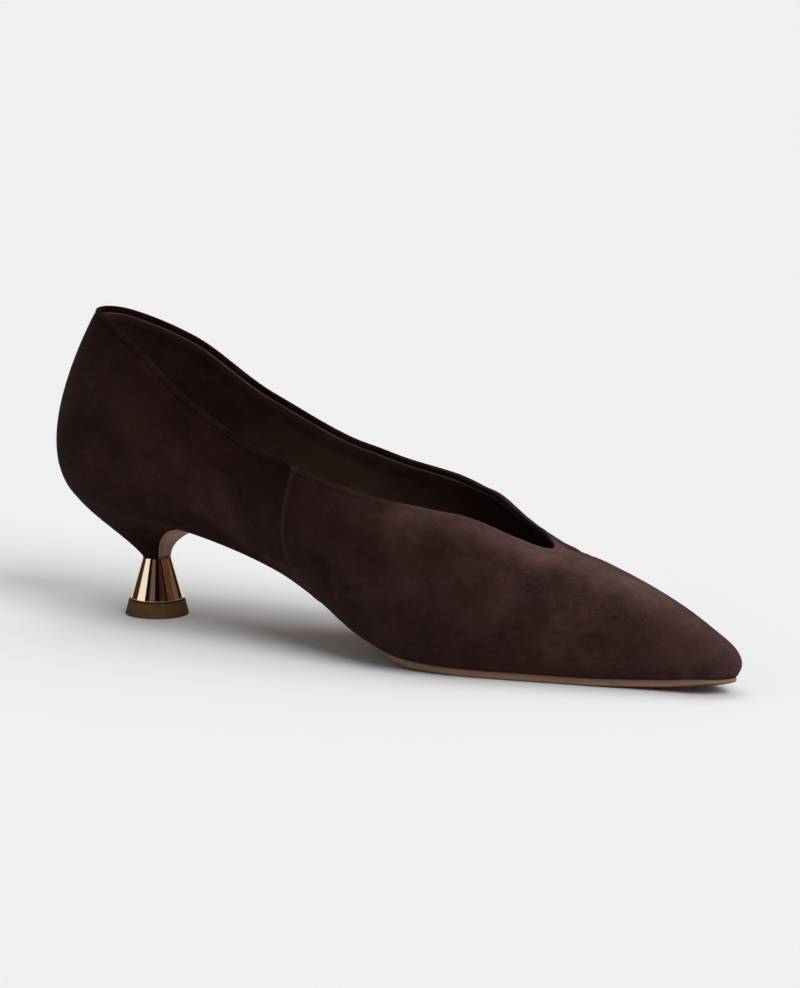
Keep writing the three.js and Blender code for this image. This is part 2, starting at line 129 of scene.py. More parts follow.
def length(name, default, description):
    """A size that a user may change, in metres."""
    return FloatProperty(name=name, description=description, default=default, unit="LENGTH", precision=4)


def colour(name, default, description):
    """A colour that a user may change."""
    return FloatVectorProperty(
        name=name, description=description, default=default, subtype="COLOR", size=3, min=0, max=1)


class ShoeSizes(bpy.types.PropertyGroup):
    """The sizes a maker would measure on the last, the upper, the sole and the heel."""

    last_length: length("Last length", 0.243, "Length of the last along its bottom")
    seat_width: length("Seat width", 0.041, "Width of the last's bottom at the heel")
    waist_width: length("Waist width", 0.037, "Width of the last's bottom under the arch")
    ball_width: length("Ball width", 0.063, "Width of the last's bottom at the ball")
    toe_width: length("Toe width", 0.025, "Width of the last's bottom before the toe")
    heel_height: length("Heel height", 0.034, "Rise of the seat above the forepart")
    toe_spring: length("Toe spring", 0.004, "Rise of the toe above the floor")
    counter_height: length("Counter height", 0.058, "Height of the upper at the back")
    side_height: length("Side height", 0.045, "Height of the upper at the sides")
    vamp_height: length("Vamp height", 0.036, "Height of the vamp at the point of the V")
    vamp_length: length("Vamp length", 0.067, "Length from the point of the V to the toe")
    toe_height: length("Toe height", 0.0121, "Height of the upper at the toe")
    collar_width: length("Collar width", 0.05, "Width of the opening")
    wall: length("Wall", 0.0016, "Thickness of suede and lining together")
    suede: length("Suede", 0.0009, "Thickness of the suede")
    fold: length("Fold", 0.0014, "Thickness of the suede folded over at the collar")
    lap: length("Lap", 0.005, "Width of the strip turned in under the insole")
    lap_thickness: length("Lap thickness", 0.0012, "Thickness of the turned-in strip")
    sole: length("Sole", 0.0026, "Thickness of the sole leather under the forepart")
    waist_sole: length("Waist sole", 0.0015, "Thickness of the sole leather under the waist")
    flap_sole: length("Flap", 0.001, "Thickness of the flap at its lower end")
    sole_inset: length("Sole inset", 0.001, "How far the sole's edge lies inside the upper's")
    waist_inset: length("Waist inset", 0.005, "The same under the waist")
    flap_inset: length("Flap inset", 0.0005, "How far the flap lies inside the breast's edges")
    breast_bend: length("Breast bend", 0.002, "How far ahead of the breast the sole turns down")
    insole: length("Insole", 0.0018, "Thickness of the insole with its sock")
    heel_set: length("Heel set", 0.027, "Distance from the back of the last to the heel's axis")
    tip_diameter: length("Tip diameter", 0.0198, "Diameter of the rubber tip on the floor")
    tip_top_diameter: length("Tip top diameter", 0.0178, "Diameter of the rubber tip at its top")
    tip_height: length("Tip height", 0.0046, "Height of the rubber tip")
    cone_diameter: length("Cone diameter", 0.0166, "Diameter of the metal cone at its foot")
    cone_height: length("Cone height", 0.0131, "Height of the metal cone")
    cone_bevel: length("Cone bevel", 0.0005, "Bevel round the cone's foot")
    neck_diameter: length("Neck diameter", 0.0088, "Diameter of the neck of the heel")
    seat_length: length("Seat length", 0.048, "Length of the heel block's seat")
    seat_inset: length("Seat inset", 0.0006, "How far the heel block lies inside the upper's edge")
    gap: length("Gap", 0.0003, "Clearance between pieces that meet")
    toe_thinning: length("Toe thinning", 0.0010, "How much thinner the sole is at the toe")
    v_softness: length("V softness", 0.0009, "How far the point of the V is rounded")
    creases: FloatProperty(name="Creases", description="How strongly wear has shaped the upper", default=1.0,
                           min=0.0, max=3.0)


class ShoeColours(bpy.types.PropertyGroup):
    """The colours of the shoe's materials and of the studio."""

    # The suede is mixed between these two by the meshes' 'light' mark, which holds painted light and shade as
    # well as the nap's tone
    suede: colour("Suede", (0.0116, 0.0023, 0.0024), "Dark brown suede, nap laid down")
    suede_light: colour("Suede, raised nap", (0.106, 0.0550, 0.0515), "The same suede, nap brushed up")
    lining: colour("Lining", (0.044, 0.0215, 0.0160), "Smooth lining leather")
    sole: colour("Sole leather", (0.30, 0.155, 0.088), "Tan sole leather")
    sole_edge: colour("Sole edge", (0.33, 0.175, 0.105), "Dressed edge of the sole")
    gold: colour("Gold", (0.86, 0.61, 0.46), "Pale gold plate")
    rubber: colour("Rubber", (0.130, 0.062, 0.023), "Brown moulded rubber")
    floor: colour("Floor", (0.80, 0.80, 0.80), "Pale studio floor")


def table(names, rows):
    """Columns by name, from rows; numbers become arrays."""
    return {name: np.array(column) for name, column in zip(names.split(), zip(*rows))}


# Rise of the bottom, as shares of the heel height and of the toe spring
BOTTOM = table("at heel spring", [
    (0.00, 1.000, 0.00),
    (0.10, 0.995, 0.00),
    (0.20, 0.965, 0.00),
    (0.30, 0.850, 0.00),
    (0.40, 0.550, 0.00),
    (0.45, 0.348, 0.00),
    (0.50, 0.140, 0.00),
    (0.55, 0.020, 0.00),
    (0.60, 0.000, 0.00),
    (0.70, 0.000, 0.00),
    (0.80, 0.000, 0.30),
    (0.90, 0.000, 0.77),
    (1.00, 0.000, 1.00),
])

# Bottom edge: distance out from the middle line as a share of the width named in the row, the wall's lean
# there in degrees, and how far up the rib it holds that lean
EDGE = table("at width out_inner out_outer lean_inner lean_outer low_inner low_outer", [
    (0.00, "seat_width", 0.000, 0.000, 44, 44, 0.33, 0.33),
    (0.10, "seat_width", 0.325, 0.325, 43, 42, 0.33, 0.33),
    (0.20, "seat_width", 0.495, 0.500, 38, 37, 0.33, 0.33),
    (0.30, "seat_width", 0.450, 0.525, 38, 34, 0.33, 0.33),
    (0.40, "waist_width", 0.370, 0.620, 50, 36, 0.34, 0.34),
    (0.45, "waist_width", 0.470, 0.710, 54, 38, 0.34, 0.34),
    (0.50, "ball_width", 0.380, 0.480, 54, 38, 0.347, 0.33),
    (0.55, "ball_width", 0.445, 0.545, 50, 36, 0.369, 0.33),
    (0.60, "ball_width", 0.420, 0.560, 46, 34, 0.377, 0.32),
    (0.65, "ball_width", 0.350, 0.510, 42, 32, 0.36, 0.30),
    (0.70, "ball_width", 0.278, 0.420, 38, 32, 0.36, 0.31),
    (0.80, "toe_width", 0.420, 0.580, 34, 34, 0.36, 0.34),
    (0.90, "toe_width", 0.270, 0.285, 32, 32, 0.36, 0.36),
    (1.00, "toe_width", 0.000, 0.000, 30, 30, 0.36, 0.36),
])

# Upper ends of the ribs: shares of the lengths behind and ahead of the V, of the collar's width, of the
# height named in the row and of the toe's height
CROWN = table("at opening vamp out_inner out_outer height rise_inner rise_outer toe", [
    (0.00, 0.032, 0.000, 0.000, 0.000, "counter_height", 1.006, 1.006, 0.000),
    (0.10, 0.070, 0.000, 0.160, 0.160, "counter_height", 0.992, 0.984, 0.000),
    (0.20, 0.177, 0.000, 0.320, 0.330, "counter_height", 0.891, 0.862, 0.000),
    (0.30, 0.326, 0.000, 0.420, 0.440, "side_height", 0.900, 0.840, 0.000),
    (0.40, 0.509, 0.000, 0.480, 0.520, "side_height", 0.846, 0.782, 0.000),
    (0.45, 0.601, 0.000, 0.482, 0.518, "side_height", 0.956, 0.900, 0.000),
    (0.50, 0.696, 0.000, 0.452, 0.470, "side_height", 1.098, 1.055, 0.000),
    (0.55, 0.791, 0.000, 0.284, 0.290, "vamp_height", 1.502, 1.430, 0.000),
    (0.60, 0.885, 0.000, 0.084, 0.084, "vamp_height", 1.300, 1.235, 0.000),
    (0.625, 0.944, 0.000, 0.028, 0.028, "vamp_height", 1.095, 1.095, 0.000),
    (0.65, 1.000, 0.000, 0.000, 0.000, "vamp_height", 0.957, 0.957, 0.000),
    (0.66, 1.000, 0.044, 0.000, 0.000, "vamp_height", 0.942, 0.942, 0.020),
    (0.675, 1.000, 0.110, 0.000, 0.000, "vamp_height", 0.917, 0.917, 0.060),
    (0.70, 1.000, 0.225, 0.000, 0.000, "vamp_height", 0.828, 0.828, 0.165),
    (0.80, 1.000, 0.612, 0.000, 0.000, "vamp_height", 0.425, 0.425, 0.570),
    (0.88, 1.000, 0.885, 0.000, 0.000, "vamp_height", 0.000, 0.000, 1.000),
])

# How the ribs arrive there: degrees below the level, how far down the rib that holds, and degrees forward
CREST = table("at drop_inner drop_outer high_inner high_outer tilt", [
    (0.00, 61, 61, 0.33, 0.33, 0),
    (0.10, 63, 63, 0.33, 0.33, 0),
    (0.20, 70, 70, 0.33, 0.33, 0),
    (0.30, 74, 74, 0.33, 0.33, 0),
    (0.40, 76, 76, 0.34, 0.33, 3),
    (0.45, 67, 73, 0.33, 0.31, 6),
    (0.50, 55, 62, 0.31, 0.30, 10),
    (0.55, 27, 36, 0.31, 0.29, 14),
    (0.60, 7, 10, 0.43, 0.32, 18),
    (0.65, 0, 0, 0.55, 0.43, 20),
    (0.70, 0, 0, 0.53, 0.45, 20),
    (0.80, 0, 0, 0.48, 0.44, 24),
    (0.88, 0, 0, 0.42, 0.42, 30),
])

# Share of the rib at which the topline cuts it
TOPLINE = table("at cut_inner cut_outer", [
    (0.40, 1.000, 1.000),
    (0.45, 0.950, 0.950),
    (0.50, 0.897, 0.907),
    (0.55, 0.802, 0.825),
    (0.60, 0.837, 0.825),
    (0.625, 0.895, 0.865),
    (0.64, 0.945, 0.915),
    (0.65, 1.000, 1.000),
])

# The heel's ribs, from the back to the breast
HEEL_RIBS = table("at seat_in seat_down neck_out neck_up", [
    (0.00, 0.28, 0.38, 0.28, 0.36),
    (0.50, 0.28, 0.36, 0.28, 0.38),
    (0.80, 0.33, 0.25, 0.16, 0.48),
    (1.00, 0.45, 0.12, 0.00, 0.62),
])

# The side seam on the inner side: its station at each share of the wall, bottom edge to collar
SEAM = table("share station", [
    (0.00, 0.4470),
    (0.12, 0.4400),
    (0.30, 0.4290),
    (0.50, 0.4222),
    (0.67, 0.4212),
    (0.82, 0.4220),
    (1.00, 0.4240),
])

# How light the suede is painted at each station, from 0, its dark colour, to 1, its light one: partly the
# nap's tone and partly painted light and shade, darker at the heel and lighter towards the toe
NAP_AND_SHADING = table("at light", [
    (0.00, 0.105),
    (0.15, 0.115),
    (0.30, 0.140),
    (0.45, 0.160),
    (0.55, 0.205),
    (0.70, 0.250),
    (0.85, 0.300),
    (1.00, 0.330),
])

# What wear has left on the wall: soft ridges where 'high' is above 0, troughs where it is below, and lighter
# or darker suede where 'light' is above or below 0. That lightness is partly patches of nap and partly
# painted light
# and shade: a painted highlight along the vamp's ridge and round the toe, lighter on the ridges and darker in
# the troughs, and darker along the collar from the back. Each row follows a line from one turn and share of
# the wall to another and fades within its reach. Reach and height are in metres
WEAR_AND_LIGHT = table("turn_from share_from turn_to share_to reach high light", [
    # Painted highlight along the vamp's ridge
    (0.650, 1.00, 0.770, 1.00, 0.0095, 0.0, 0.550),
    (0.770, 1.00, 0.835, 1.00, 0.0060, 0.0, 0.350),
    (-0.560, 0.81, -0.640, 0.92, 0.0080, 0.0, 0.540),
    (-0.680, 0.85, -0.720, 0.80, 0.0060, 0.0, 0.150),
    (-0.690, 0.60, -0.745, 0.56, 0.0080, 0.0, 0.055),
    (-0.690, 0.16, -0.750, 0.18, 0.0050, 0.0, 0.070),
    (-0.610, 0.32, -0.660, 0.37, 0.0070, 0.0, -0.050),
    (-0.430, 0.22, -0.450, 0.28, 0.0055, 0.0, 0.060),
    (-0.215, 0.22, -0.235, 0.26, 0.0050, 0.0, 0.030),
    (-0.262, 0.62, -0.275, 0.52, 0.0050, 0.0, -0.030),
    (-0.490, 0.68, -0.545, 0.52, 0.0050, 0.0, -0.055),
    (-0.300, 0.40, -0.395, 0.42, 0.0085, 0.0, 0.080),
    (-0.400, 0.13, -0.450, 0.16, 0.0040, 0.0, 0.060),
    (-0.195, 0.44, -0.215, 0.34, 0.0060, 0.0, 0.035),
    (0.540, 0.84, 0.640, 0.91, 0.0055, 0.0, 0.132),
    # Painted highlight round the toe
    (1.000, 0.90, 1.000, 0.40, 0.0070, 0.0, 0.270),
    (0.585, 0.98, 0.645, 0.95, 0.0035, 0.0, 0.250),
    (0.638, 0.70, 0.650, 0.76, 0.0040, 0.00090, 0.030),
    (0.610, 0.80, 0.620, 0.70, 0.0040, -0.00080, 0.000),
    # Darker along the collar from the back, on both sides
    (-0.050, 0.94, -0.400, 0.92, 0.0085, 0.0, -0.070),
    (0.050, 0.94, 0.400, 0.92, 0.0085, 0.0, -0.070),
    # Ridges and troughs: lighter on the ridges and darker in the troughs, as painted light and shade
    (-0.322, 0.30, -0.350, 0.25, 0.0022, 0.00030, 0.106),
    (-0.360, 0.20, -0.420, 0.17, 0.0022, 0.00022, 0.053),
    (-0.300, 0.16, -0.380, 0.10, 0.0030, -0.00020, -0.020),
    (-0.200, 0.62, -0.235, 0.57, 0.0060, 0.00020, 0.033),
    (-0.180, 0.34, -0.260, 0.38, 0.0055, 0.00020, 0.033),
    (-0.150, 0.50, -0.215, 0.45, 0.0040, -0.00025, -0.020),
    (-0.340, 0.62, -0.395, 0.42, 0.0060, -0.00025, -0.026),
    (-0.440, 0.62, -0.470, 0.80, 0.0060, -0.00020, -0.026),
    (-0.505, 0.55, -0.535, 0.32, 0.0042, 0.00035, 0.030),
    (-0.480, 0.42, -0.505, 0.22, 0.0050, -0.00030, -0.026),
    (-0.585, 0.93, -0.600, 0.62, 0.0022, 0.00022, 0.040),
    (-0.566, 0.90, -0.580, 0.62, 0.0034, -0.00030, -0.026),
    (-0.602, 0.60, -0.628, 0.46, 0.0050, 0.00035, 0.030),
    (-0.640, 0.80, -0.668, 0.50, 0.0055, -0.00030, -0.033),
    (-0.690, 0.42, -0.722, 0.38, 0.0060, 0.00025, 0.053),
    (-0.740, 0.72, -0.765, 0.46, 0.0050, -0.00022, -0.033),
    (0.470, 0.56, 0.505, 0.34, 0.0055, 0.00030, 0.033),
    (0.545, 0.84, 0.570, 0.56, 0.0036, -0.00030, -0.026),
    (0.580, 0.72, 0.615, 0.42, 0.0050, 0.00035, 0.046),
    (0.635, 0.82, 0.660, 0.52, 0.0050, -0.00028, -0.026),
    (0.700, 0.60, 0.735, 0.40, 0.0060, 0.00022, 0.040),
    (0.190, 0.60, 0.260, 0.50, 0.0060, 0.00022, 0.033),
    (0.300, 0.34, 0.380, 0.24, 0.0040, 0.00022, 0.033),
])

# Where the nap is scuffed into dark specks: the same first five values
SCUFF = (-0.628, 0.69, -0.765, 0.61, 0.0062)

# What runs along the collar's edge and the side seam: how far from it its middle lies, its reach and height,
# how much lighter it is painted there, which on the collar's rolled edge is wear with a painted highlight and
# along the seam a lighter cut edge with a painted highlight, and below 0 a painted shadow behind the seam's
# lapped edge, how dark a groove is painted, which is painted shade, and where on the wall it shows
LINES = table("beside middle reach high light dark where", [
    ("collar", 0.0009, 0.00060, 0.00012, 0.00, 0.00, "everywhere"),
    ("collar", FOLD_WIDTH, 0.00035, -0.00016, 0.00, 0.55, "fold"),
    ("collar", 0.0005, 0.00060, 0.0, 0.06, 0.00, "rubbed_edge"),
    ("collar", 0.0, 0.00320, 0.00080, 0.00, 0.00, "lip"),
    ("seam", 0.0005, 0.00040, 0.00012, 0.00, 0.00, "everywhere"),
    ("seam", 0.0, 0.00018, -0.00010, 0.00, 0.35, "below_edge"),
    ("seam", 0.0, 0.00075, 0.0, 0.21, 0.00, "everywhere"),
    ("seam", 0.0026, 0.00140, 0.0, -0.03, 0.00, "behind_seam"),
    ("seam", 0.0, 0.00110, 0.0, 0.20, 0.00, "seam_end"),
])


def curve(at, values, place, start="even", end="even", level=False):
    """Cubic pieces through the rows: the slope at a row is the mean of its two spans' slopes, weighted by
    the other span's width, or their harmonic mean where 'level' keeps the curve free of overshoot. At an
    end it is 0 ('even') or the slope of the end span ('free')."""
    span = np.diff(at)
    step = np.diff(values) / span
    before, after = step[:-1], step[1:]
    slope = np.zeros(len(at))
    if level:
        same = before * after > 0
        total = np.where(same, before + after, 1)
        slope[1:-1] = np.where(same, 2 * before * after / total, 0)
    else:
        slope[1:-1] = (before * span[1:] + after * span[:-1]) / (span[1:] + span[:-1])
    slope[0] = 0 if start == "even" else step[0]
    slope[-1] = 0 if end == "even" else step[-1]
    place = np.clip(place, at[0], at[-1])
    row = np.clip(np.searchsorted(at, place) - 1, 0, len(at) - 2)
    width = span[row]
    t = (place - at[row]) / width
    s = 1 - t
    return ((1 + 2 * t) * s * s * values[row] + t * s * s * width * slope[row]
            + t * t * (3 - 2 * t) * values[row + 1] - t * t * s * width * slope[row + 1])


def smooth_step(start, end, value):
    """0 before start and 1 after end, with 3 t^2 - 2 t^3 between them."""
    t = np.clip((value - start) / (end - start), 0, 1)
    return t * t * (3 - 2 * t)


def mix(start, end, share):
    """A straight mix of two values or arrays."""
    return start + (end - start) * share


def bezier(a, b, c, d, t):
    """The cubic curve with end points a and d and handles b and c."""
    t = np.asarray(t)[..., None]
    s = 1 - t
    return a * s ** 3 + b * 3 * s * s * t + c * 3 * s * t * t + d * t ** 3


def vector(x, y, z):
    """Arrays of x, y and z as one array of points."""
    return np.stack(np.broadcast_arrays(x, y, z), -1)


def unit(vectors):
    """Vectors brought to length 1."""
    size = np.linalg.norm(vectors, axis=-1, keepdims=True)
    return vectors / np.maximum(size, 1e-12)


class Last:
    """The shoe's last. A place on it is a turn, from -1 at the toe back along the inner side to 0 at the
    heel and forward along the outer side to 1 at the toe again, and a share of the way up the wall."""

    def __init__(self, size):
        self.size = size
        self.edge_width = self.sizes(EDGE["width"])
        self.crown_height = self.sizes(CROWN["height"])
        opening = size.last_length - size.vamp_length
        self.crown_along = opening * CROWN["opening"] + size.vamp_length * CROWN["vamp"]
        self.collar = self.topline_loop()

    def sizes(self, names):
        """The sizes named in a column, as an array."""
        return np.array([getattr(self.size, str(name)) for name in names])

    def sided(self, columns, name, turn, start="even", end="even", level=False, scale=1):
        """A column that differs from side to side, read at a turn."""
        station = np.abs(turn)
        inner = curve(columns["at"], columns[name + "_inner"] * scale, station, start, end, level)
        outer = curve(columns["at"], columns[name + "_outer"] * scale, station, start, end, level)
        return np.where(np.asarray(turn) < 0, inner, outer)

    def along(self, station):
        """Distance from the back: half the length times 1 - cos(pi station)."""
        return self.size.last_length * (1 - np.cos(np.pi * station)) / 2

    def station(self, along):
        """The station at a distance from the back."""
        return np.arccos(1 - 2 * np.clip(along / self.size.last_length, 0, 1)) / np.pi

    def bottom(self, along):
        """Height of the bottom edge above the floor."""
        station = self.station(along)
        heel = curve(BOTTOM["at"], BOTTOM["heel"], station, level=True)
        spring = curve(BOTTOM["at"], BOTTOM["spring"], station, level=True)
        size = self.size
        return size.sole + size.gap + size.heel_height * heel + size.toe_spring * spring

    def edge(self, turn):
        """A point of the bottom edge."""
        along = self.along(np.abs(turn))
        out = self.sided(EDGE, "out", turn, "free", "free", scale=self.edge_width)
        return vector(along - self.size.heel_set, np.sign(turn) * out, self.bottom(along))

    def normal(self, turn):
        """The level direction out of the shoe, square to the bottom edge: the edge's run, turned a
        quarter."""
        reach = 1e-4
        ahead = (np.asarray(turn) + reach + 1) % 2 - 1
        back = (np.asarray(turn) - reach + 1) % 2 - 1
        run = self.edge(ahead) - self.edge(back)
        return unit(vector(-run[..., 1], run[..., 0], 0))

    def crown(self, turn):
        """The upper end of a rib."""
        place = np.sign(turn) * np.minimum(np.abs(turn), POLE)
        station = np.abs(place)
        along = curve(CROWN["at"], self.crown_along, station, "even", "free")
        out = self.size.collar_width * self.sided(CROWN, "out", place, "free", "even", True)
        rise = self.sided(CROWN, "rise", place, "even", "free", scale=self.crown_height)
        toe = self.size.toe_height * curve(CROWN["at"], CROWN["toe"], station, "even", "free")
        level = self.bottom(self.along(station)) + rise + toe
        return vector(along - self.size.heel_set, np.sign(place) * out, level)

    def cut(self, turn):
        """Share of the rib at which the topline cuts it."""
        return self.sided(TOPLINE, "cut", turn, "even", "free")

    def rib(self, turn, share):
        """A point of the outer face: each rib is a cubic curve that leaves the bottom edge at its lean and
        arrives at the crown at its drop and tilt."""
        turn, share = np.broadcast_arrays(np.asarray(turn, float), share)
        foot, head, out = self.edge(turn), self.crown(turn), self.normal(turn)
        chord = np.linalg.norm(head - foot, axis=-1)
        place = np.sign(turn) * np.minimum(np.abs(turn), POLE)
        lean = np.radians(self.sided(EDGE, "lean", turn))
        low = chord * self.sided(EDGE, "low", turn)
        drop = np.radians(self.sided(CREST, "drop", place, "even", "free"))
        high = chord * self.sided(CREST, "high", place, "even", "free")
        tilt = np.radians(curve(CREST["at"], CREST["tilt"], np.abs(place), "even", "free"))
        x, y = out[..., 0], out[..., 1]
        foot_pull = vector(x * np.sin(lean), y * np.sin(lean), np.cos(lean))
        head_pull = vector(x * np.cos(tilt) * np.cos(drop), y * np.cos(drop),
                           -x * np.sin(tilt) * np.cos(drop) - np.sin(drop))
        first = foot + foot_pull * low[..., None]
        second = head + head_pull * high[..., None]
        return bezier(foot, first, second, head, share)

    def sunk(self, turn):
        """How far the upper sinks below the bottom edge's plane at the toe, where the sole is thinner."""
        return self.size.toe_thinning * smooth_step(TOE_THINS, TOE_THIN, np.abs(turn))

    def under(self, turn, inset, lift):
        """A point set in from the bottom edge and lifted from the plane of that edge, sunk at the toe."""
        point = self.edge(turn) - self.normal(turn) * np.asarray(inset)[..., None]
        level = self.bottom(point[..., 0] + self.size.heel_set) + lift - self.sunk(turn)
        return vector(point[..., 0], point[..., 1], level)

    def wall_inset(self, turn, wall, lift):
        """How far inside the bottom edge a face that lies one wall inside the outer one stands at a
        height."""
        lean = np.radians(self.sided(EDGE, "lean", turn))
        return wall / np.cos(lean) - lift * np.tan(lean)

    def topline_loop(self):
        """The collar's edge as a closed loop of evenly spaced points, softened along its length by a bell
        curve, which rounds the point of the V and leaves the rest as it is."""
        samples, count = 1601, 900
        turn = np.linspace(-THROAT, THROAT, samples)
        raw = self.rib(turn, self.cut(turn))
        run = np.concatenate([[0], np.cumsum(np.linalg.norm(np.diff(raw, axis=0), axis=1))])
        even = np.linspace(0, run[-1], count, endpoint=False)
        loop = np.stack([np.interp(even, run, raw[:, axis]) for axis in range(3)], 1)
        wave = np.fft.rfftfreq(count, run[-1] / count)
        bell = np.exp(-2 * (np.pi * wave * self.size.v_softness) ** 2)
        return np.fft.irfft(np.fft.rfft(loop, axis=0) * bell[:, None], count, axis=0)

    def collar_gap(self, points):
        """Distance from each point to the collar's edge, and the way there."""
        return nearest(points, self.collar, closed=True)

    def cut_share(self, turn, clearance):
        """Share of each rib at which it comes within a clearance of the collar's edge, found between
        samples near its upper end; 1 where it never does."""
        below, above, samples = 0.16, 0.06, 60
        share = self.cut(turn)[:, None] + np.linspace(-below, above, samples)
        share = np.clip(share, 0, 1)
        gap = self.collar_gap(self.rib(turn[:, None], share))[0]
        inside = gap < clearance
        first = np.maximum(inside.argmax(1), 1)
        rows = np.arange(len(turn))
        far, near = gap[rows, first - 1], gap[rows, first]
        part = np.clip((far - clearance) / np.maximum(far - near, 1e-9), 0, 1)
        found = mix(share[rows, first - 1], share[rows, first], part)
        return np.where(inside.any(1), found, 1)

    def tip_station(self, clearance):
        """The station ahead of the V at which the vamp's ridge is a clearance away from the collar."""
        behind, before, samples = 0.02, 0.06, 400
        station = np.linspace(THROAT - behind, THROAT + before, samples)
        gap = self.collar_gap(self.crown(station))[0]
        return float(np.interp(clearance, gap[gap.argmin():], station[gap.argmin():]))


def nearest(points, line, closed=False):
    """Distance from points to a line of closely spaced points, and the way there, square to the line."""
    if closed:
        run = unit(np.roll(line, -1, 0) - np.roll(line, 1, 0))
    else:
        run = unit(np.gradient(line, axis=0))
    flat = points.reshape(-1, 3)
    batch = 4000
    ways = []
    for part in np.array_split(flat, max(1, len(flat) // batch)):
        squares = (line ** 2).sum(1) - 2 * part @ line.T
        place = squares.argmin(1)
        way = line[place] - part
        spare = (way * run[place]).sum(1, keepdims=True)
        limit = np.linalg.norm(line[1] - line[0])
        ways.append(way - np.clip(spare, -limit, limit) * run[place])
    way = np.concatenate(ways).reshape(points.shape)
    return np.linalg.norm(way, axis=-1), way


def surface_normals(points):
    """Normals of a grid: the sum of the faces round each corner, each the cross product of its diagonals.
    Corners that coincide share one normal."""
    first = points[1:, 1:] - points[:-1, :-1]
    second = points[1:, :-1] - points[:-1, 1:]
    face = np.cross(first, second)
    total = np.zeros(points.shape)
    for rows in (slice(None, -1), slice(1, None)):
        for columns in (slice(None, -1), slice(1, None)):
            total[rows, columns] += face
    close = 1e-6
    whole = np.round(points.reshape(-1, 3) / close).astype(np.int64)
    same = np.unique(whole, axis=0, return_inverse=True)[1].ravel()
    summed = np.zeros((same.max() + 1, 3))
    np.add.at(summed, same, total.reshape(-1, 3))
    return unit(summed[same]).reshape(points.shape)


def build_mesh(name, grids, marks=()):
    """One closed object from grids of points; each grid may come with its marks, one number for each
    point. Corners that lie together become one, faces without area go, and the rest face out."""
    points, faces, values = [], [], {mark: [] for mark in marks}
    start = 0
    for grid in grids:
        place, notes = grid if isinstance(grid, tuple) else (grid, {})
        rows, columns = place.shape[:2]
        index = start + np.arange(rows * columns).reshape(rows, columns)
        quads = np.stack([index[:-1, :-1], index[1:, :-1], index[1:, 1:], index[:-1, 1:]], -1)
        faces.append(quads.reshape(-1, 4))
        points.append(place.reshape(-1, 3))
        for mark in marks:
            note = notes.get(mark, 0.0)
            values[mark].append(np.broadcast_to(note, place.shape[:2]).reshape(-1))
        start += rows * columns
    points, faces = np.concatenate(points), np.concatenate(faces)
    mesh = bpy.data.meshes.new(name)
    mesh.from_pydata(points, [], faces)
    for mark in marks:
        attribute = mesh.attributes.new(mark, "FLOAT", "POINT")
        attribute.data.foreach_set("value", np.concatenate(values[mark]).astype(np.float32))
    work = bmesh.new()
    work.from_mesh(mesh)
    bmesh.ops.remove_doubles(work, verts=work.verts, dist=WELD)
    bmesh.ops.dissolve_degenerate(work, edges=work.edges, dist=WELD / 4)
    bmesh.ops.recalc_face_normals(work, faces=work.faces)
    work.to_mesh(mesh)
    work.free()
    mesh.shade_smooth()
    piece = bpy.data.objects.new(name, mesh)
    bpy.context.scene.collection.objects.link(piece)
    return piece


class Wire:
    """An output of a material's nodes. Arithmetic on it adds Math nodes."""

    def __init__(self, tree, socket):
        self.tree = tree
        self.socket = socket

    def calculate(self, operation, first, second):
        """The result of a Math node."""
        return add_node(self.tree, "ShaderNodeMath", {"operation": operation}, {0: first, 1: second})

    def __add__(self, other):
        return self.calculate("ADD", self, other)

    def __radd__(self, other):
        return self.calculate("ADD", other, self)

    def __sub__(self, other):
        return self.calculate("SUBTRACT", self, other)

    def __rsub__(self, other):
        return self.calculate("SUBTRACT", other, self)

    def __mul__(self, other):
        return self.calculate("MULTIPLY", self, other)

    def __rmul__(self, other):
        return self.calculate("MULTIPLY", other, self)


def add_node(tree, kind, settings=None, inputs=None, output=0):
    """Adds a node of any kind, sets it up and then fills its sockets with values or links. A ramp's stops
    are a setting: pairs of a place and a colour."""
    node = tree.nodes.new(kind)
    for name, value in (settings or {}).items():
        if name == "stops":
            ramp = node.color_ramp.elements
            while len(ramp) < len(value):
                ramp.new(0.5)
            for element, (place, tone) in zip(ramp, value):
                element.position = place
                element.color = (*tone, 1) if hasattr(tone, "__len__") else (tone, tone, tone, 1)
        else:
            setattr(node, name, value)
    for name, value in (inputs or {}).items():
        socket = node.inputs[name]
        if isinstance(value, Wire):
            tree.links.new(value.socket, socket)
        elif hasattr(value, "__len__") and socket.type == "RGBA":
            socket.default_value = (*value, 1)
        else:
            socket.default_value = value
    return Wire(tree, node.outputs[output])


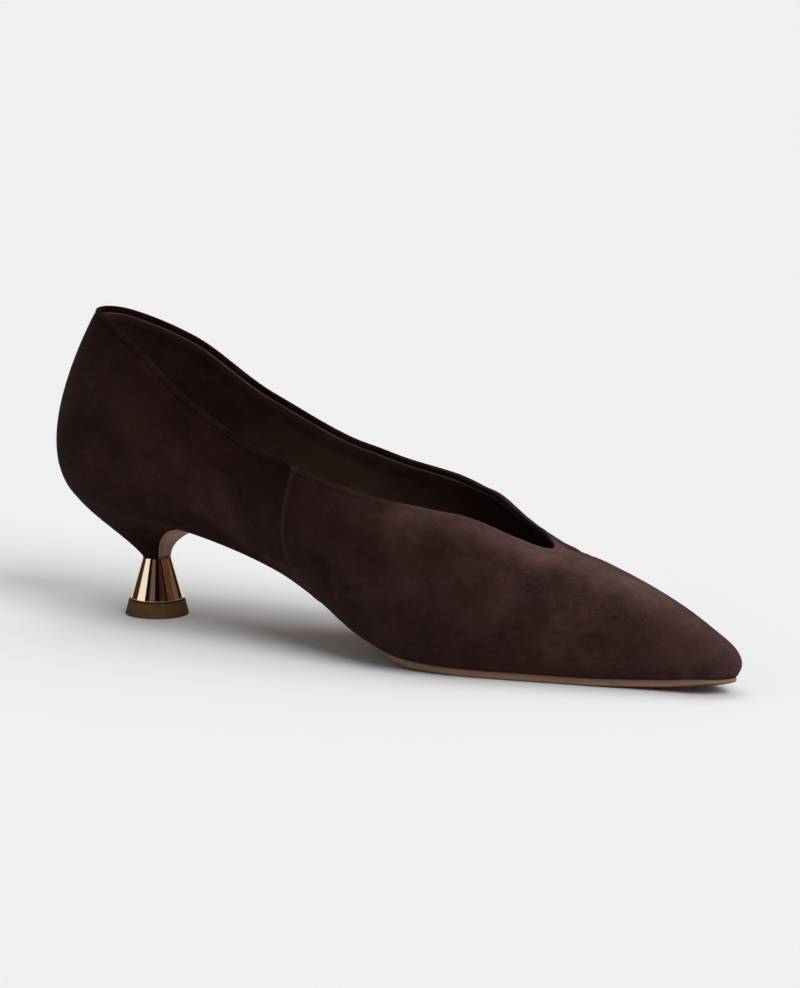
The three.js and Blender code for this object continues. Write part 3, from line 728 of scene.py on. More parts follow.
class Finish:
    """A material with one Principled shader, whose fixed values are set on its own sockets."""

    def __init__(self, name, **fixed):
        self.material = bpy.data.materials.new(name)
        self.material.use_nodes = True
        self.tree = self.material.node_tree
        self.shader = self.tree.nodes["Principled BSDF"]
        for socket, value in fixed.items():
            target = self.shader.inputs[socket.replace("_", " ")]
            target.default_value = (*value, 1) if target.type == "RGBA" else value
        self.place = self.node("ShaderNodeTexCoord", output="Object")

    def node(self, kind, settings=None, inputs=None, output=0):
        """A node of any kind in this material."""
        return add_node(self.tree, kind, settings, inputs, output)

    def noise(self, scale, detail=2.0, rough=0.5, place=None, distortion=0.0):
        """Clouds whose patches are about one scale-th of a metre across, from 0 to 1."""
        return self.node("ShaderNodeTexNoise", {"noise_dimensions": "3D"}, {
            "Vector": place or self.place, "Scale": scale, "Detail": detail, "Roughness": rough,
            "Distortion": distortion})

    def stretched(self, scale, rotation=(0, 0, 0)):
        """The object's coordinates, turned and scaled on each axis."""
        return self.node("ShaderNodeMapping", {"vector_type": "POINT"}, {
            "Vector": self.place, "Rotation": rotation, "Scale": scale})

    def ramp(self, value, *stops):
        """A value turned into tones or colours by stops."""
        return self.node("ShaderNodeValToRGB", {"stops": stops}, {"Fac": value})

    def blend(self, share, first, second, kind="MIX"):
        """A mix of two colours."""
        return self.node("ShaderNodeMix", {"data_type": "RGBA", "blend_type": kind},
                         {0: share, 6: first, 7: second}, 2)

    def multiply(self, share, first, second):
        """A colour multiplied by another one, by a share of the way."""
        return self.blend(share, first, second, "MULTIPLY")

    def patches(self, value, low, high, first, second):
        """The first colour where a value is under low, the second where it is over high, mixed between."""
        return self.blend(self.ramp(value, (low, 0.0), (high, 1.0)), first, second)

    def mark(self, name):
        """A number that the mesh carries at each point."""
        return self.node("ShaderNodeAttribute", {"attribute_name": name}, output="Fac")

    def feed(self, socket, wire):
        """Links a result to a socket of the shader."""
        self.tree.links.new(wire.socket, self.shader.inputs[socket])

    def relief(self, height, distance, strength=1.0, under=None):
        """A bump of a height from 0 to 1 over a distance, on top of another one."""
        inputs = {"Height": height, "Distance": distance, "Strength": strength}
        if under:
            inputs["Normal"] = under
        return self.node("ShaderNodeBump", None, inputs)


# Numbers that the suede's meshes carry for its finish: how light it is, partly nap and partly painted light
# and shade; how dark its grooves are painted, as painted shade; and where it is scuffed
SUEDE_MARKS = ("light", "groove", "scuff")


def toned(colour, factor):
    """A colour made darker or lighter."""
    return tuple(factor * part for part in colour)


def suede_finish(title, colours):
    """Matt suede: clouds of laid and brushed nap over a fine short pile, lighter or darker where the mesh's
    'light' mark says so, which is partly the nap's tone and partly painted light and shade, with dark specks
    where it is scuffed, and painted shade down in the grooves."""
    finish = Finish(title, Roughness=0.95, Specular_IOR_Level=0.03, Sheen_Weight=0.035,
                    Sheen_Roughness=0.4, Sheen_Tint=(0.70, 0.54, 0.49))
    clouds = finish.noise(42, 4.0, 0.55, distortion=0.9)
    hand = finish.noise(170, 4.0, 0.6, distortion=1.0)
    nap = finish.noise(850, 3.0, 0.6, finish.stretched((0.6, 1.0, 1.0), (0, math.radians(-18), 0)))
    pile = finish.noise(3200, 2.0, 0.6)
    light = finish.mark("light")
    # The mesh's 'light' mark mixes from the dark suede to the light one: the nap's tone with painted
    # highlights and shade
    body = finish.blend(light + (clouds - 0.5) * 0.2, colours.suede, colours.suede_light)
    olive = finish.ramp(finish.noise(75, 3.0), (0.45, 0.0), (0.65, 1.0))
    body = finish.multiply(olive, body, (0.94, 1.0, 0.88))
    shade = 0.86 + (clouds - 0.5) * 0.9 + (hand - 0.5) * 0.75 + (nap - 0.5) * 0.42 + (pile - 0.5) * 0.25
    body = finish.multiply(1.0, body, shade)
    specks = finish.ramp(finish.noise(520, 2.0, 0.6, distortion=2.0), (0.56, 0.0), (0.68, 1.0))
    body = finish.multiply(specks * finish.mark("scuff"), body, (0.50, 0.42, 0.46))
    # Painted shade down in the grooves of the collar's fold and of the seam
    body = finish.multiply(finish.mark("groove"), body, (0.30, 0.24, 0.24))
    finish.feed("Base Color", body)
    coarse = finish.relief(hand * 0.6 + nap * 0.4, 0.00035, 0.5)
    finish.feed("Normal", finish.relief(pile, 0.00014, 0.6, coarse))
    return finish.material


def lining_finish(title, colours):
    """Smooth dark leather with a fine grain and soft wear."""
    finish = Finish(title, Roughness=0.6, Specular_IOR_Level=0.18)
    grain = finish.node("ShaderNodeTexVoronoi", {"feature": "DISTANCE_TO_EDGE"},
                        {"Vector": finish.place, "Scale": 1300.0})
    clouds = finish.noise(90, 3.0)
    body = finish.patches(clouds, 0.35, 0.7, colours.lining, toned(colours.lining, 1.5))
    finish.feed("Base Color", body)
    finish.feed("Roughness", clouds * 0.2 + 0.5)
    finish.feed("Normal", finish.relief(finish.ramp(grain, (0.0, 0.0), (0.12, 1.0)), 0.00006, 0.5))
    return finish.material


def sole_finish(title, colours):
    """Tan sole leather: fine fibres and soft blotches, and an edge dressed in two bands, the upper one
    redder, with painted shade along its top under the upper and a dark foot where it meets the floor, partly
    a dark dressing and partly a painted contact shadow."""
    finish = Finish(title, Roughness=0.5, Specular_IOR_Level=0.35)
    fibre = finish.noise(900, 4.0, 0.65)
    clouds = finish.noise(70, 3.0)
    edge = finish.mark("edge")
    body = finish.patches(clouds * 0.6 + fibre * 0.4, 0.3, 0.7, toned(colours.sole, 0.72), colours.sole)
    streaks = finish.noise(1500, 3.0, 0.6, finish.stretched((0.06, 0.06, 1.0)))
    rim = finish.patches(streaks, 0.3, 0.7, toned(colours.sole_edge, 0.72), colours.sole_edge)
    # Bands down the edge's depth: painted shade at the top under the upper, dressed bands with a line between
    # them, and a dark foot, partly dark dressing and partly painted contact shadow
    bands = finish.ramp(finish.mark("depth"), (0.0, (0.30, 0.20, 0.16)), (0.10, (0.56, 0.44, 0.36)),
                        (0.30, (0.92, 0.84, 0.74)), (0.38, (0.66, 0.63, 0.58)), (0.50, (0.82, 0.86, 0.82)),
                        (0.80, (0.86, 0.92, 0.90)), (0.95, (0.14, 0.12, 0.10)))
    finish.feed("Base Color", finish.blend(edge, body, finish.multiply(1.0, rim, bands)))
    finish.feed("Roughness", 0.52 - edge * 0.12 + fibre * 0.08)
    finish.feed("Normal", finish.relief(fibre, 0.00008, 0.5))
    return finish.material


def gold_finish(title, colours):
    """Polished gold plate with faint haze and hairlines."""
    finish = Finish(title, Base_Color=colours.gold, Metallic=1.0, Roughness=0.04)
    haze = finish.noise(260, 3.0)
    finish.feed("Roughness", finish.ramp(haze, (0.35, 0.025), (0.75, 0.055)))
    return finish.material


def rubber_finish(title, colours):
    """Brown moulded rubber, dull, with a fine tooth and darker and lighter clouds."""
    finish = Finish(title, Roughness=0.7, Specular_IOR_Level=0.1)
    clouds = finish.noise(500, 4.0, 0.65)
    body = finish.patches(clouds, 0.35, 0.7, toned(colours.rubber, 0.7), colours.rubber)
    finish.feed("Base Color", body)
    finish.feed("Roughness", clouds * 0.25 + 0.55)
    finish.feed("Normal", finish.relief(clouds, 0.00006, 0.4))
    return finish.material


def make_finish(name):
    """The material of a slot, made once."""
    title = "worn_" + name
    if title not in bpy.data.materials:
        makers = {"suede": suede_finish, "lining_leather": lining_finish, "sole_leather": sole_finish,
                  "gold_metal": gold_finish, "heel_rubber": rubber_finish}
        makers[name](title, bpy.context.scene.shoe_colours)
    return bpy.data.materials[title]


def settle(piece, slot, node):
    """Gives a piece the finish of its slot and its body, and hides the solid that it stands for."""
    piece.data.materials.append(make_finish(slot))
    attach(piece, "root")
    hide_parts(node)


def seam_station(share):
    """Station of the side seam at a share of the wall."""
    return curve(SEAM["share"], SEAM["station"], share, "free", "free")


def wall_rows(last, clearance):
    """Turns of the grid's rows: even ones, closer ones beside the seam, and closer and closer ones towards
    the station where the collar's edge closes, which comes back too."""
    even_rows, tip_rows, seam_rows = 181, 17, 35
    tip_reach, least_step = 0.03, 2e-5
    tip = last.tip_station(clearance)
    near = np.linspace(0, 1, tip_rows)[1:] ** 2 * tip_reach
    stations = np.concatenate([np.linspace(0, 1, even_rows), [tip], tip - near, tip + near])
    stations = np.unique(np.round(stations, 9))
    beside = SEAM_MIDDLE + np.linspace(-1, 1, seam_rows) * SEAM_ROWS
    turns = np.sort(np.concatenate([-stations[1:], stations, -beside]))
    keep = np.concatenate([[True], np.diff(turns) > least_step])
    return turns[keep], tip


def wall_places(last, turns, clearance):
    """Turn and share of each point of the wall's grid. The rows beside the seam bend with it, fading away
    from it as (1 - x^2)^2, and the steps are closer towards the collar, as 1 - (1 - s)^1.5."""
    rise = 1 - (1 - np.linspace(0, 1, WALL_STEPS)) ** 1.5
    near = np.clip(1 - ((turns + SEAM_MIDDLE) / SEAM_REACH) ** 2, 0, 1) ** 2
    bend = -(seam_station(rise) - SEAM_MIDDLE)
    turn = turns[:, None] + near[:, None] * bend[None, :]
    cut = last.cut_share(turns, clearance)
    share = rise[None, :] * np.interp(turn, turns, cut)
    return turn, share


def bell(distance, middle, reach):
    """1 at the middle, fading to both sides: e^(-((distance - middle) / reach)^2)."""
    return np.exp(-((distance - middle) / reach) ** 2)


def nap_and_shading(turn):
    """How light the suede is painted at a turn: partly the nap's tone, partly painted light and shade."""
    return curve(NAP_AND_SHADING["at"], NAP_AND_SHADING["light"], np.abs(turn))


def streak(last, points, turn_from, share_from, turn_to, share_to, reach):
    """1 on a line over the wall, from one turn and share to another, and fading away from it: a bell of the
    distance."""
    step = np.linspace(0, 1, 41)
    line = last.rib(mix(turn_from, turn_to, step), mix(share_from, share_to, step))
    return bell(nearest(points, line)[0], 0, reach)


def wear_and_light(last, points):
    """Height, and lightness of the suede, partly nap and partly painted light and shade, that the rows of the
    wear
    and light table add at the points: the sum of their streaks.
    """
    height, light = np.zeros(points.shape[:-1]), np.zeros(points.shape[:-1])
    for *line, high, lighter in zip(*WEAR_AND_LIGHT.values()):
        strength = streak(last, points, *line)
        height += last.size.creases * high * strength
        light += lighter * strength
    return height, light


def upper_relief(last, points, turn, ahead):
    """Height of the shapes on the suede, and marks for its finish: wear and the nap's tone, both with painted
    light and shade, and what the rows of LINES add. These are the rolled edge of the collar, worn and painted
    with a highlight, over a fine groove painted dark as shade, the lip beside the V, and the side seam, a
    groove painted dark as shade with a lighter line along it, partly its cut edge and partly a painted
    highlight, between two raised shoulders, with a painted shadow behind it. Each is a bell of the distance
    from its line, in its part of the wall. 'ahead' is 1 ahead of the seam and 0 behind it."""
    height, light = wear_and_light(last, points)
    light += nap_and_shading(turn)
    groove = np.zeros(turn.shape)
    collar = last.collar_gap(points)[0]
    rise = np.linspace(0, 1, 81)
    seam = -seam_station(rise)
    away = nearest(points, last.rib(seam, rise * last.cut(seam)))[0]
    gaps = {"collar": collar, "seam": np.where(turn < 0, away, 1)}
    quarter = smooth_step(VAMP_STARTS, QUARTER_ENDS, np.abs(turn))
    vamp_fold, end_reach = 0.35, 0.0018
    seam_begins, seam_full = 0.0004, 0.0040
    places = {
        "everywhere": 1.0,
        "fold": mix(vamp_fold, 1.0, quarter),
        "rubbed_edge": quarter * smooth_step(RUB_AND_LIGHT_STARTS, RUB_AND_LIGHT_FULL, np.abs(turn)),
        "lip": smooth_step(*LIP_BACK, turn) * smooth_step(*LIP_FRONT, turn),
        "below_edge": smooth_step(seam_begins, seam_full, collar),
        "behind_seam": 1 - ahead,
        "seam_end": bell(collar, 0, end_reach),
    }
    for beside, middle, reach, high, lighter, dark, where in zip(*LINES.values()):
        strength = bell(gaps[beside], middle, reach) * places[where]
        height += high * strength
        light += lighter * strength
        groove += dark * strength
    return height, {"light": light, "groove": np.clip(groove, 0, 1), "scuff": streak(last, points, *SCUFF)}


def rolled_edge(last, points, facing, outer, inner):
    """Half a round from the upper edge of the outer face to that of the inner one. It bulges along the wall
    towards the collar's edge: middle + across cos(angle) + up radius sin(angle)."""
    middle, across = (outer + inner) / 2, (outer - inner) / 2
    radius = np.linalg.norm(across, axis=-1)
    way = last.collar_gap(points)[1]
    way -= (way * facing).sum(-1, keepdims=True) * facing
    up = unit(way)
    angle = np.linspace(0, np.pi, 11)
    return (middle[:, None] + across[:, None] * np.cos(angle)[None, :, None]
            + up[:, None] * (radius[:, None] * np.sin(angle))[..., None])


def wall_shell(last, name, clearance, outside, inside, lift, lap, marks=()):
    """A closed shell that follows the wall. 'outside' and 'inside' give how deep its two faces lie under
    the last's own face, at each distance from the collar's edge, and 'lift' how far above the bottom edge
    they end. At the collar they are joined by half a round, and along the bottom edge by a turned-in strip,
    'lap' wide."""
    turns, tip = wall_rows(last, clearance)
    turn, share = wall_places(last, turns, clearance)
    points = last.rib(turn, share)
    normals = surface_normals(points)
    heel_row = len(turns) // 2
    # The back of the heel faces backwards
    if normals[heel_row, :, 0].mean() > 0:
        normals = -normals
    gap = last.collar_gap(points)[0]
    height, notes = 0.0, {}
    if marks:
        height, notes = upper_relief(last, points, turn, turns[:, None] < -SEAM_MIDDLE)
    outer = points - normals * (outside(gap) - height)[..., None]
    columns = np.round(np.linspace(0, WALL_STEPS - 1, INNER_STEPS)).astype(int)
    inner = (points - normals * inside(gap)[..., None])[:, columns]

    throat = np.abs(turns) <= tip + 1e-9
    rim = rolled_edge(last, *(grid[throat, -1] for grid in (points, normals, outer, inner)))

    base = turn[:, 0]
    far = np.array([1.0])
    skin, wall = float(outside(far)[0]), float(inside(far)[0])
    foot = last.under(base, last.wall_inset(base, skin, lift[0] - last.sunk(base)), lift[0])
    inset = last.wall_inset(base, wall, lift[1])
    corner = last.under(base, inset, lift[1])
    reach = inset + last.size.lap_thickness + lap * smooth_step(1, LAP_NARROWS, np.abs(base))
    bottom = last.under(base, reach, lift[0])
    top = last.under(base, reach, lift[1])
    outer[:, 0] = foot
    inner[:, 0] = corner
    # The 'light' mark carries the nap's tone with painted light and shade; on the quarter the rolled edge
    # takes less of it
    plain = {"light": nap_and_shading(turns)[:, None]}
    brim = {}
    if marks:
        quarter_share = 0.3
        forward = smooth_step(QUARTER_ENDS, VAMP_STARTS, np.abs(turn[throat, -1:]))
        brim["light"] = notes["light"][throat, -1:] * mix(quarter_share, 1, forward)
    grids = [(outer, notes), (inner, plain), (rim, brim), (np.stack([foot, bottom], 1), plain),
             (np.stack([bottom, top], 1), plain), (np.stack([top, corner], 1), plain)]
    return build_mesh(name, grids, marks=marks)


def suede_depth(last):
    """Depth of the suede's inner face at a distance from the collar's edge: that of the fold near it, of one
    layer further down, and a smooth step between them."""
    size = last.size
    fold_ends, layer_starts = 0.003, 0.008
    return lambda gap: mix(size.fold, size.suede, smooth_step(fold_ends, layer_starts, gap))


def build_upper(last):
    """The suede upper, folded over at the collar and turned in under the insole."""
    size = last.size
    piece = wall_shell(last, "suede_upper", size.fold / 2, lambda gap: np.zeros_like(gap), suede_depth(last),
                       (0.0, size.suede), size.lap, marks=SUEDE_MARKS)
    settle(piece, "suede", "upper")


def build_lining(last):
    """The lining, which lies just inside the suede and ends below its folded edge."""
    size = last.size
    depth, apart = suede_depth(last), 0.00004
    piece = wall_shell(last, "quarter_lining", FOLD_WIDTH, lambda gap: depth(gap) + apart,
                       lambda gap: depth(gap) + size.wall - size.suede, (size.suede, size.lap_thickness),
                       0.0)
    settle(piece, "lining_leather", "upper")


def rim_profile(thickness, top, foot):
    """Inset and depth down the edge of a slab: a quarter round at the top, straight down, and a quarter
    round at the foot."""
    angle = np.linspace(0, np.pi / 2, 7)
    thickness = np.asarray(thickness)[..., None]
    flat = np.zeros_like(thickness)
    inset = np.concatenate([top * (1 - np.sin(angle)) + flat, foot * (1 - np.cos(angle)) + flat], -1)
    depth = np.concatenate([top * (1 - np.cos(angle)) + flat,
                            thickness - foot + foot * np.sin(angle)], -1)
    return inset, depth


def slab(rims, steps, raised=0.0):
    """What closes two rims into a slab: grids straight across its top and its underside, one between their
    last rows, and one over the last row of each rim. The top is raised across by (4 s (1 - s))^0.8."""
    across = np.linspace(0, 1, steps)
    over, under = (mix(rims[0][:, row], rims[1][:, row], across[None, :, None])
                   for row in (slice(None, 1), slice(-1, None)))
    over[..., 2] += raised * (4 * across * (1 - across)) ** 0.8
    last_row = np.stack([over[-1], under[-1]])
    ends = [np.stack([rim[-1], np.broadcast_to(rim[-1].mean(0), rim[-1].shape)]) for rim in rims]
    return over, under, last_row, ends


def build_sock(last):
    """The insole with its sock: a padded board a clearance inside the wall, a little dished under the heel
    and crowned under the ball."""
    size = last.size
    top_edge, foot_edge, heel_dish, ball_crown = 0.0008, 0.0003, 0.0009, 0.0003
    stations = INSOLE_END * np.linspace(0, 1, 141)
    lift = size.lap_thickness + size.gap + size.insole
    inset, depth = rim_profile(np.full(len(stations), size.insole), top_edge, foot_edge)
    rims = []
    for side in (-1, 1):
        turn = side * stations[:, None]
        wall = last.wall_inset(turn, size.wall, size.lap_thickness) + size.gap / 3
        rims.append(last.under(turn + 0 * inset, wall + inset, lift - depth))
    raised = ball_crown * smooth_step(0.45, 0.6, stations) - heel_dish * smooth_step(0.42, 0.15, stations)
    over, under, front, ends = slab(rims, 33, raised[:, None])
    piece = build_mesh("sock_lining", [over, under, front, *rims, *ends])
    settle(piece, "lining_leather", "insole")


def neck_level(size):
    """Height of the heel's neck, on top of the tip and the cone."""
    return size.tip_height + size.cone_height + 2 * size.gap


def heel_point(last, share, side, down):
    """A point of the heel block's flank: a cubic curve from the seat, under the upper's edge, down to the
    round neck, nearly in the direction that the seat's point has from the heel's axis."""
    size = last.size
    share, down = np.broadcast_arrays(np.asarray(share, float), down)
    turn = side * share * last.station(size.seat_length)
    seat = last.under(turn, np.full(turn.shape, size.seat_inset), -size.gap)
    round_from_back = np.pi - np.abs(np.arctan2(seat[..., 1], seat[..., 0]))
    bearing = side * (np.pi - NECK_BEARING * round_from_back)
    radius = size.neck_diameter / 2
    neck = vector(radius * np.cos(bearing), radius * np.sin(bearing), neck_level(size))
    way = neck - seat

    def part(level, upright):
        """The way to the neck, its level and upright parts each times a column's share."""
        level = curve(HEEL_RIBS["at"], HEEL_RIBS[level], share, "even", "free")
        upright = curve(HEEL_RIBS["at"], HEEL_RIBS[upright], share, "even", "free")
        return way * np.stack([level, level, upright], -1)

    return bezier(seat, seat + part("seat_in", "seat_down"), neck - part("neck_out", "neck_up"), neck, down)


def cover_point(last, share, side, down):
    """A point of the heel's cover: the heel block's flank, drawn out and up at its seat until it lies close
    under the upper's edge and flush with it, by a smooth step that ends part of the way down."""
    inset, lift = 0.0001, -0.00005
    flush = last.under(side * share * last.station(last.size.seat_length), inset, lift)
    spare = flush - heel_point(last, share, side, 0)
    return heel_point(last, share, side, down) + spare * smooth_step(COVER_DRAWN, 0, down)[..., None]


def build_heel_block(last):
    """The suede-covered heel block: flanks, a flat breast whose corners are rounded by quadratic curves, and
    closed ends."""
    down = np.linspace(0, 1, 49)[:, None]
    flank_corner, breast_corner = 0.035, 0.04
    flank = np.linspace(0, 1 - flank_corner, 60)[None, :]
    outer, inner = (cover_point(last, flank, side, down) for side in (1, -1))
    ends = {side: cover_point(last, np.ones((1, 1)), side, down) for side in (1, -1)}
    width = np.linspace(0, 1, 21)[None, 1:-1, None]
    breast = mix(ends[1], ends[-1], mix(breast_corner, 1 - breast_corner, width))
    bend = np.linspace(0, 1, 9)[None, :, None]

    def rounded(start, middle, end):
        """The quadratic curve from start to end with its handle in the middle."""
        return (1 - bend) ** 2 * start + 2 * bend * (1 - bend) * middle + bend ** 2 * end

    loop = np.concatenate([
        inner[:, ::-1], outer[:, 1:],
        rounded(outer[:, -1:], ends[1], breast[:, :1]), breast[:, 1:-1],
        rounded(breast[:, -1:], ends[-1], inner[:, -1:]),
    ], 1)
    loop = np.concatenate([loop, loop[:, :1]], 1)
    middle = loop.mean(1, keepdims=True)
    seat_rim = mix(loop[:1], middle[:1], 0.02)
    seat_rim[..., 2] = loop[:1, :, 2]
    seat = np.concatenate([np.broadcast_to(middle[0], loop[:1].shape), seat_rim, loop[:1]], 0)
    neck = np.concatenate([loop[-1:], np.broadcast_to(middle[-1], loop[-1:].shape)], 0)
    # The cover is a little lighter right under the seat, and painted darker further down, a painted shade
    # where it turns towards the floor
    seat_lighter, seat_lighter_reach, shaded = 0.03, 0.03, 0.03
    nap = {"light": nap_and_shading(0)}
    sides = {"light": nap_and_shading(0) + seat_lighter * bell(down, 0, seat_lighter_reach) - shaded * down}
    piece = build_mesh("heel_cover", [(loop, sides), (seat, nap), (neck, nap)], marks=SUEDE_MARKS)
    settle(piece, "suede", "heel_block")


def build_sole(last):
    """The sole leather, along the bottom from the toe and down the breast of the heel as a flap. Its edge is
    a rounded profile carried round its outline, with marks for how deep on it each band lies."""
    size = last.size
    top_edge, foot_edge, flap_band, shaded_foot_climb = 0.0002, 0.0009, 0.2, 0.35
    breast = last.station(size.seat_length + size.breast_bend)
    stations = np.linspace(1, float(breast), 171)
    waist = smooth_step(SOLE_NARROWS, SOLE_NARROW, stations)
    inset = mix(size.sole_inset, size.waist_inset, waist)
    down = np.linspace(0, 1, 41)[1:]
    flap_inset = mix(size.waist_inset - size.seat_inset, size.flap_inset, smooth_step(0, FLAP_FULL, down))
    thickness = np.concatenate([mix(size.sole, size.waist_sole, waist) - last.sunk(stations),
                                mix(size.waist_sole, size.flap_sole, down)])
    lifts = np.concatenate([np.zeros(len(stations)), np.full(len(down), size.gap)])
    lines, outs = [], []
    for side in (-1, 1):
        bottom = last.under(side * stations, inset, -size.gap)
        flap = heel_point(last, np.ones(len(down)), side, down)
        flap[:, 1] -= side * flap_inset
        lines.append(np.concatenate([bottom, flap]))
        level = np.broadcast_to([0.0, side, 0.0], flap.shape)
        outs.append(np.concatenate([last.normal(side * stations), level]))
    middle = (lines[0] + lines[1]) / 2
    run = np.gradient(middle, axis=0)
    facing = unit(vector(-run[:, 2], 0, run[:, 0]))
    rim_inset, rim_depth = rim_profile(thickness, top_edge, foot_edge)
    on_flap = np.arange(len(middle)) >= len(stations)

    def lay(line, out):
        """The edge's profile carried along a line: in by its inset and away from the face by its depth,
        and on the flap no lower than the neck."""
        point = (line[:, None] - out[:, None] * rim_inset[..., None]
                 + facing[:, None] * (rim_depth + lifts[:, None])[..., None])
        point[on_flap, :, 2] = np.maximum(point[on_flap, :, 2], neck_level(size))
        return point

    rims = [lay(line, out) for line, out in zip(lines, outs)]
    over, under, tail, ends = slab(rims, 25)
    deep = rim_depth / thickness[:, None]
    # Towards the toe the dark foot, partly painted shadow under the lifted toe, reaches higher up the edge
    deep[:len(stations)] *= 1 + shaded_foot_climb * smooth_step(SHADED_FOOT_CLIMBS, SHADED_FOOT_HIGH, stations)[:, None]
    deep[on_flap] = flap_band
    edged = [(rim, {"edge": 1.0, "depth": deep}) for rim in rims]
    piece = build_mesh("leather_sole", [over, under, *edged, tail, *ends], marks=("edge", "depth"))
    settle(piece, "sole_leather", "outsole")


def turned(name, profile):
    """A round piece: a profile of radius and height carried round the heel's axis."""
    angle = np.linspace(0, 2 * np.pi, 161)[:, None]
    radius, height = np.array(profile).T
    return build_mesh(name, [vector(radius * np.cos(angle), radius * np.sin(angle), height)])


def arc(centre, radius, start, end):
    """Points of an arc in radius and height, from one angle to another in degrees."""
    angle = np.radians(np.linspace(start, end, 6))
    return list(zip(centre[0] + radius * np.cos(angle), centre[1] + radius * np.sin(angle)))


def slant(start, end, first, final, count):
    """Points of a straight line in radius and height, from one share of its length to another."""
    share = np.linspace(first, final, count)
    return list(zip(mix(start[0], end[0], share), mix(start[1], end[1], share)))


def build_heel_cone(last):
    """The polished metal cone, bevelled round its foot."""
    size = last.size
    foot = size.tip_height + size.gap / 3
    top = size.tip_height + size.gap + size.cone_height
    outer, bevel = size.cone_diameter / 2, size.cone_bevel
    neck = size.neck_diameter / 2
    soft, edge = 0.00004, 0.0001
    profile = [(0, foot), (outer - bevel - 2 * edge, foot), (outer - bevel, foot + soft)]
    profile += [(outer, foot + bevel), (outer - soft, foot + bevel + edge)]
    profile += slant((outer, foot + bevel), (neck, top), 0.03, 0.99, 24)
    profile += [(neck, top), (neck - edge, top + edge / 2), (0, top + edge / 2)]
    piece = turned("metal_cone", profile)
    settle(piece, "gold_metal", "heel_cone")


def build_heel_tip(last):
    """The rubber tip, flaring to the floor, its edges a little rounded."""
    size = last.size
    foot, top = size.tip_diameter / 2, size.tip_top_diameter / 2
    edge = 0.0004
    profile = [(0, 0), (foot - 2 * edge, 0)]
    profile += arc((foot - edge, edge), edge, -90, 0)
    profile += slant((foot, edge), (top, size.tip_height - edge), 0.1, 0.95, 10)
    profile += arc((top - edge, size.tip_height - edge), edge, 0, 90)
    profile += [(top - 3 * edge, size.tip_height), (0, size.tip_height)]
    piece = turned("rubber_tip", profile)
    settle(piece, "heel_rubber", "heel_tip")


# The camera: its turn from straight ahead of the inner side and its rise above the floor, its distance in
# metres and its lens in millimetres
CAMERA_TURN = math.radians(36.5)
CAMERA_RISE = math.radians(11.5)
CAMERA_DISTANCE = 3.0
CAMERA_LENS = 432.0

# Cards that only glossy pieces see: turn from the camera to the right in degrees, from and to, brightness,
# and how far its white is warmed towards copper
CARDS = table("start end light warmth", [
    (-178, -150, 0.25, 0.6),
    (-150, -98, 0.05, 0.9),
    (-98, -57, 1.20, 0.0),
    (-57, -36, 0.01, 0.8),
    (-36, -11, 0.15, 0.5),
    (-11, 11, 0.006, 1.0),
    (11, 38, 0.030, 1.0),
    (38, 112, 0.15, 0.8),
    (112, 150, 0.02, 1.0),
    (150, 178, 0.30, 0.5),
])
CARD_WHITE = (0.88, 0.98, 1.0)
CARD_COPPER = (1.0, 0.62, 0.36)

# How far from the heel's axis the cards stand, how far above the floor they begin and end, and how far the
# floor reaches, in metres
CARD_DISTANCE = 1.2
CARD_FOOT = 0.02
CARD_TOP = 1.7
FLOOR_REACH = 9.0

# Suns: turn from the camera to the right, rise and spread in degrees, and strength
SUNS = {"key": (36, 40, 37, 2.2), "top": (170, 72, 60, 1.22)}
SKY_STRENGTH = 0.29


def build_floor(colours):
    """The pale floor, flat and far wider than the shoe."""
    line = FLOOR_REACH * np.linspace(-1, 1, 41)
    floor = build_mesh("studio_floor", [vector(line[:, None], line[None, :], 0.0)])
    finish = Finish("studio_floor", Base_Color=colours.floor, Roughness=0.9, Specular_IOR_Level=0.1)
    floor.data.materials.append(finish.material)
    if floor.data.polygons[0].normal.z < 0:
        floor.data.flip_normals()


def build_lights():
    """An even white sky and the soft suns."""
    world = bpy.data.worlds.new("studio")
    world.use_nodes = True
    sky = world.node_tree.nodes["Background"]
    sky.inputs["Color"].default_value = (1, 1, 1, 1)
    sky.inputs["Strength"].default_value = SKY_STRENGTH
    bpy.context.scene.world = world

    for name, (turn, rise, spread, strength) in SUNS.items():
        lamp = bpy.data.lights.new(name, "SUN")
        lamp.energy = strength
        lamp.angle = math.radians(spread)
        thing = bpy.data.objects.new(name, lamp)
        way = view_direction(math.radians(turn), math.radians(rise))
        thing.rotation_euler = way.to_track_quat("Z", "Y").to_euler()
        bpy.context.scene.collection.objects.link(thing)


def build_cards():
    """Glowing cards that show only in what is glossy, each a part of one wide cylinder round the heel's
    axis."""
    for index, (start, end, light, warmth) in enumerate(zip(*CARDS.values())):
        angle = np.radians(np.linspace(start, end, 9))[:, None] + CAMERA_TURN
        height = np.linspace(CARD_FOOT, CARD_TOP, 3)[None, :]
        sheet = vector(CARD_DISTANCE * np.sin(angle), -CARD_DISTANCE * np.cos(angle), height)
        card = build_mesh(f"card_{index}", [sheet])
        tint = mix(np.array(CARD_WHITE), np.array(CARD_COPPER), warmth)
        glow = Finish(f"card_{index}", Base_Color=(0, 0, 0), Specular_IOR_Level=0.0, Emission_Color=tint,
                      Emission_Strength=float(light))
        card.data.materials.append(glow.material)
        for rays in ("camera", "diffuse", "shadow", "transmission"):
            setattr(card, "visible_" + rays, False)


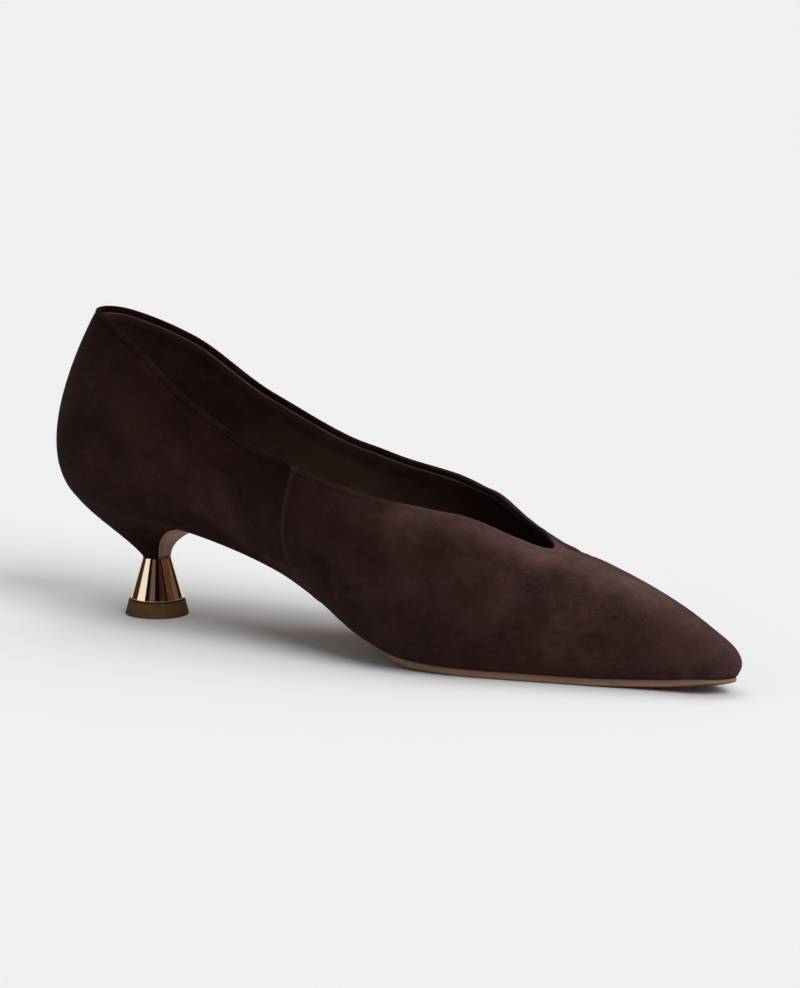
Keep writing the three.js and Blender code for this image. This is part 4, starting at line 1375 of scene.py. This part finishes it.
def build_camera():
    """The camera, with a long lens and aimed at the middle of the shoe's box."""
    lens = bpy.data.cameras.new("camera")
    lens.lens = CAMERA_LENS
    lens.sensor_width = 36
    lens.sensor_fit = "HORIZONTAL"
    lens.clip_end = 100
    camera = bpy.data.objects.new("camera", lens)
    camera.location = view_direction(0, CAMERA_RISE) * CAMERA_DISTANCE
    low, high = CAD_BOUNDS
    aim = camera.location - (Vector(low) + Vector(high)) / 2
    camera.rotation_euler = aim.to_track_quat("Z", "Y").to_euler()
    bpy.context.scene.collection.objects.link(camera)
    bpy.context.scene.camera = camera
    bpy.context.scene.view_settings.view_transform = "Standard"


def build_stage(colours):
    """The floor, the light, the cards and the camera."""
    build_floor(colours)
    build_lights()
    build_cards()
    build_camera()


def view_direction(turn, rise):
    """The direction at a turn to the right of the camera's and a rise above the floor."""
    around = CAMERA_TURN + turn
    return Vector((math.sin(around) * math.cos(rise), -math.cos(around) * math.cos(rise), math.sin(rise)))


class PieceOperator:
    """What the operators of the pieces share."""

    bl_options = {"REGISTER", "UNDO"}

    def last(self, context):
        """The last at the sizes that the scene holds."""
        return Last(context.scene.shoe_sizes)


class AddUpper(PieceOperator, bpy.types.Operator):
    """Add the suede upper and its lining"""

    bl_idname = "pump.upper"
    bl_label = "Upper and lining"

    def execute(self, context):
        last = self.last(context)
        build_upper(last)
        build_lining(last)
        return {"FINISHED"}


class AddSock(PieceOperator, bpy.types.Operator):
    """Add the insole with its sock"""

    bl_idname = "pump.sock"
    bl_label = "Insole"

    def execute(self, context):
        build_sock(self.last(context))
        return {"FINISHED"}


class AddSole(PieceOperator, bpy.types.Operator):
    """Add the sole leather with its flap"""

    bl_idname = "pump.sole"
    bl_label = "Sole"

    def execute(self, context):
        build_sole(self.last(context))
        return {"FINISHED"}


class AddHeel(PieceOperator, bpy.types.Operator):
    """Add the covered heel block, the metal cone and the rubber tip"""

    bl_idname = "pump.heel"
    bl_label = "Heel"

    def execute(self, context):
        last = self.last(context)
        build_heel_block(last)
        build_heel_cone(last)
        build_heel_tip(last)
        return {"FINISHED"}


class AddStage(bpy.types.Operator):
    """Add the floor, the light and the camera"""

    bl_idname = "pump.stage"
    bl_label = "Studio"
    bl_options = {"REGISTER", "UNDO"}

    def execute(self, context):
        build_stage(context.scene.shoe_colours)
        return {"FINISHED"}


class PumpPanel(bpy.types.Panel):
    """Lists the pieces, the sizes and the colours"""

    bl_idname = "VIEW3D_PT_pump"
    bl_label = "Kitten heel pump"
    bl_space_type = "VIEW_3D"
    bl_region_type = "UI"
    bl_category = "Pump"

    def draw(self, context):
        column = self.layout.column(align=True)
        for operator in OPERATORS:
            column.operator(operator.bl_idname)
        for group in (context.scene.shoe_sizes, context.scene.shoe_colours):
            box = self.layout.box().column(align=True)
            for name in group.bl_rna.properties.keys():
                if name not in {"rna_type", "name"}:
                    box.prop(group, name)


OPERATORS = (AddUpper, AddSock, AddSole, AddHeel, AddStage)
CLASSES = (ShoeSizes, ShoeColours, *OPERATORS, PumpPanel)


def register():
    """Registers the classes and hangs the settings on the scene."""
    for item in CLASSES:
        bpy.utils.register_class(item)
    bpy.types.Scene.shoe_sizes = PointerProperty(type=ShoeSizes)
    bpy.types.Scene.shoe_colours = PointerProperty(type=ShoeColours)


def unregister():
    """Takes the settings and the classes away again."""
    del bpy.types.Scene.shoe_colours
    del bpy.types.Scene.shoe_sizes
    for item in reversed(CLASSES):
        bpy.utils.unregister_class(item)


def main():
    register()
    for operator in OPERATORS:
        group, name = operator.bl_idname.split(".")
        getattr(getattr(bpy.ops, group), name)()


if __name__ == "__main__":
    main()
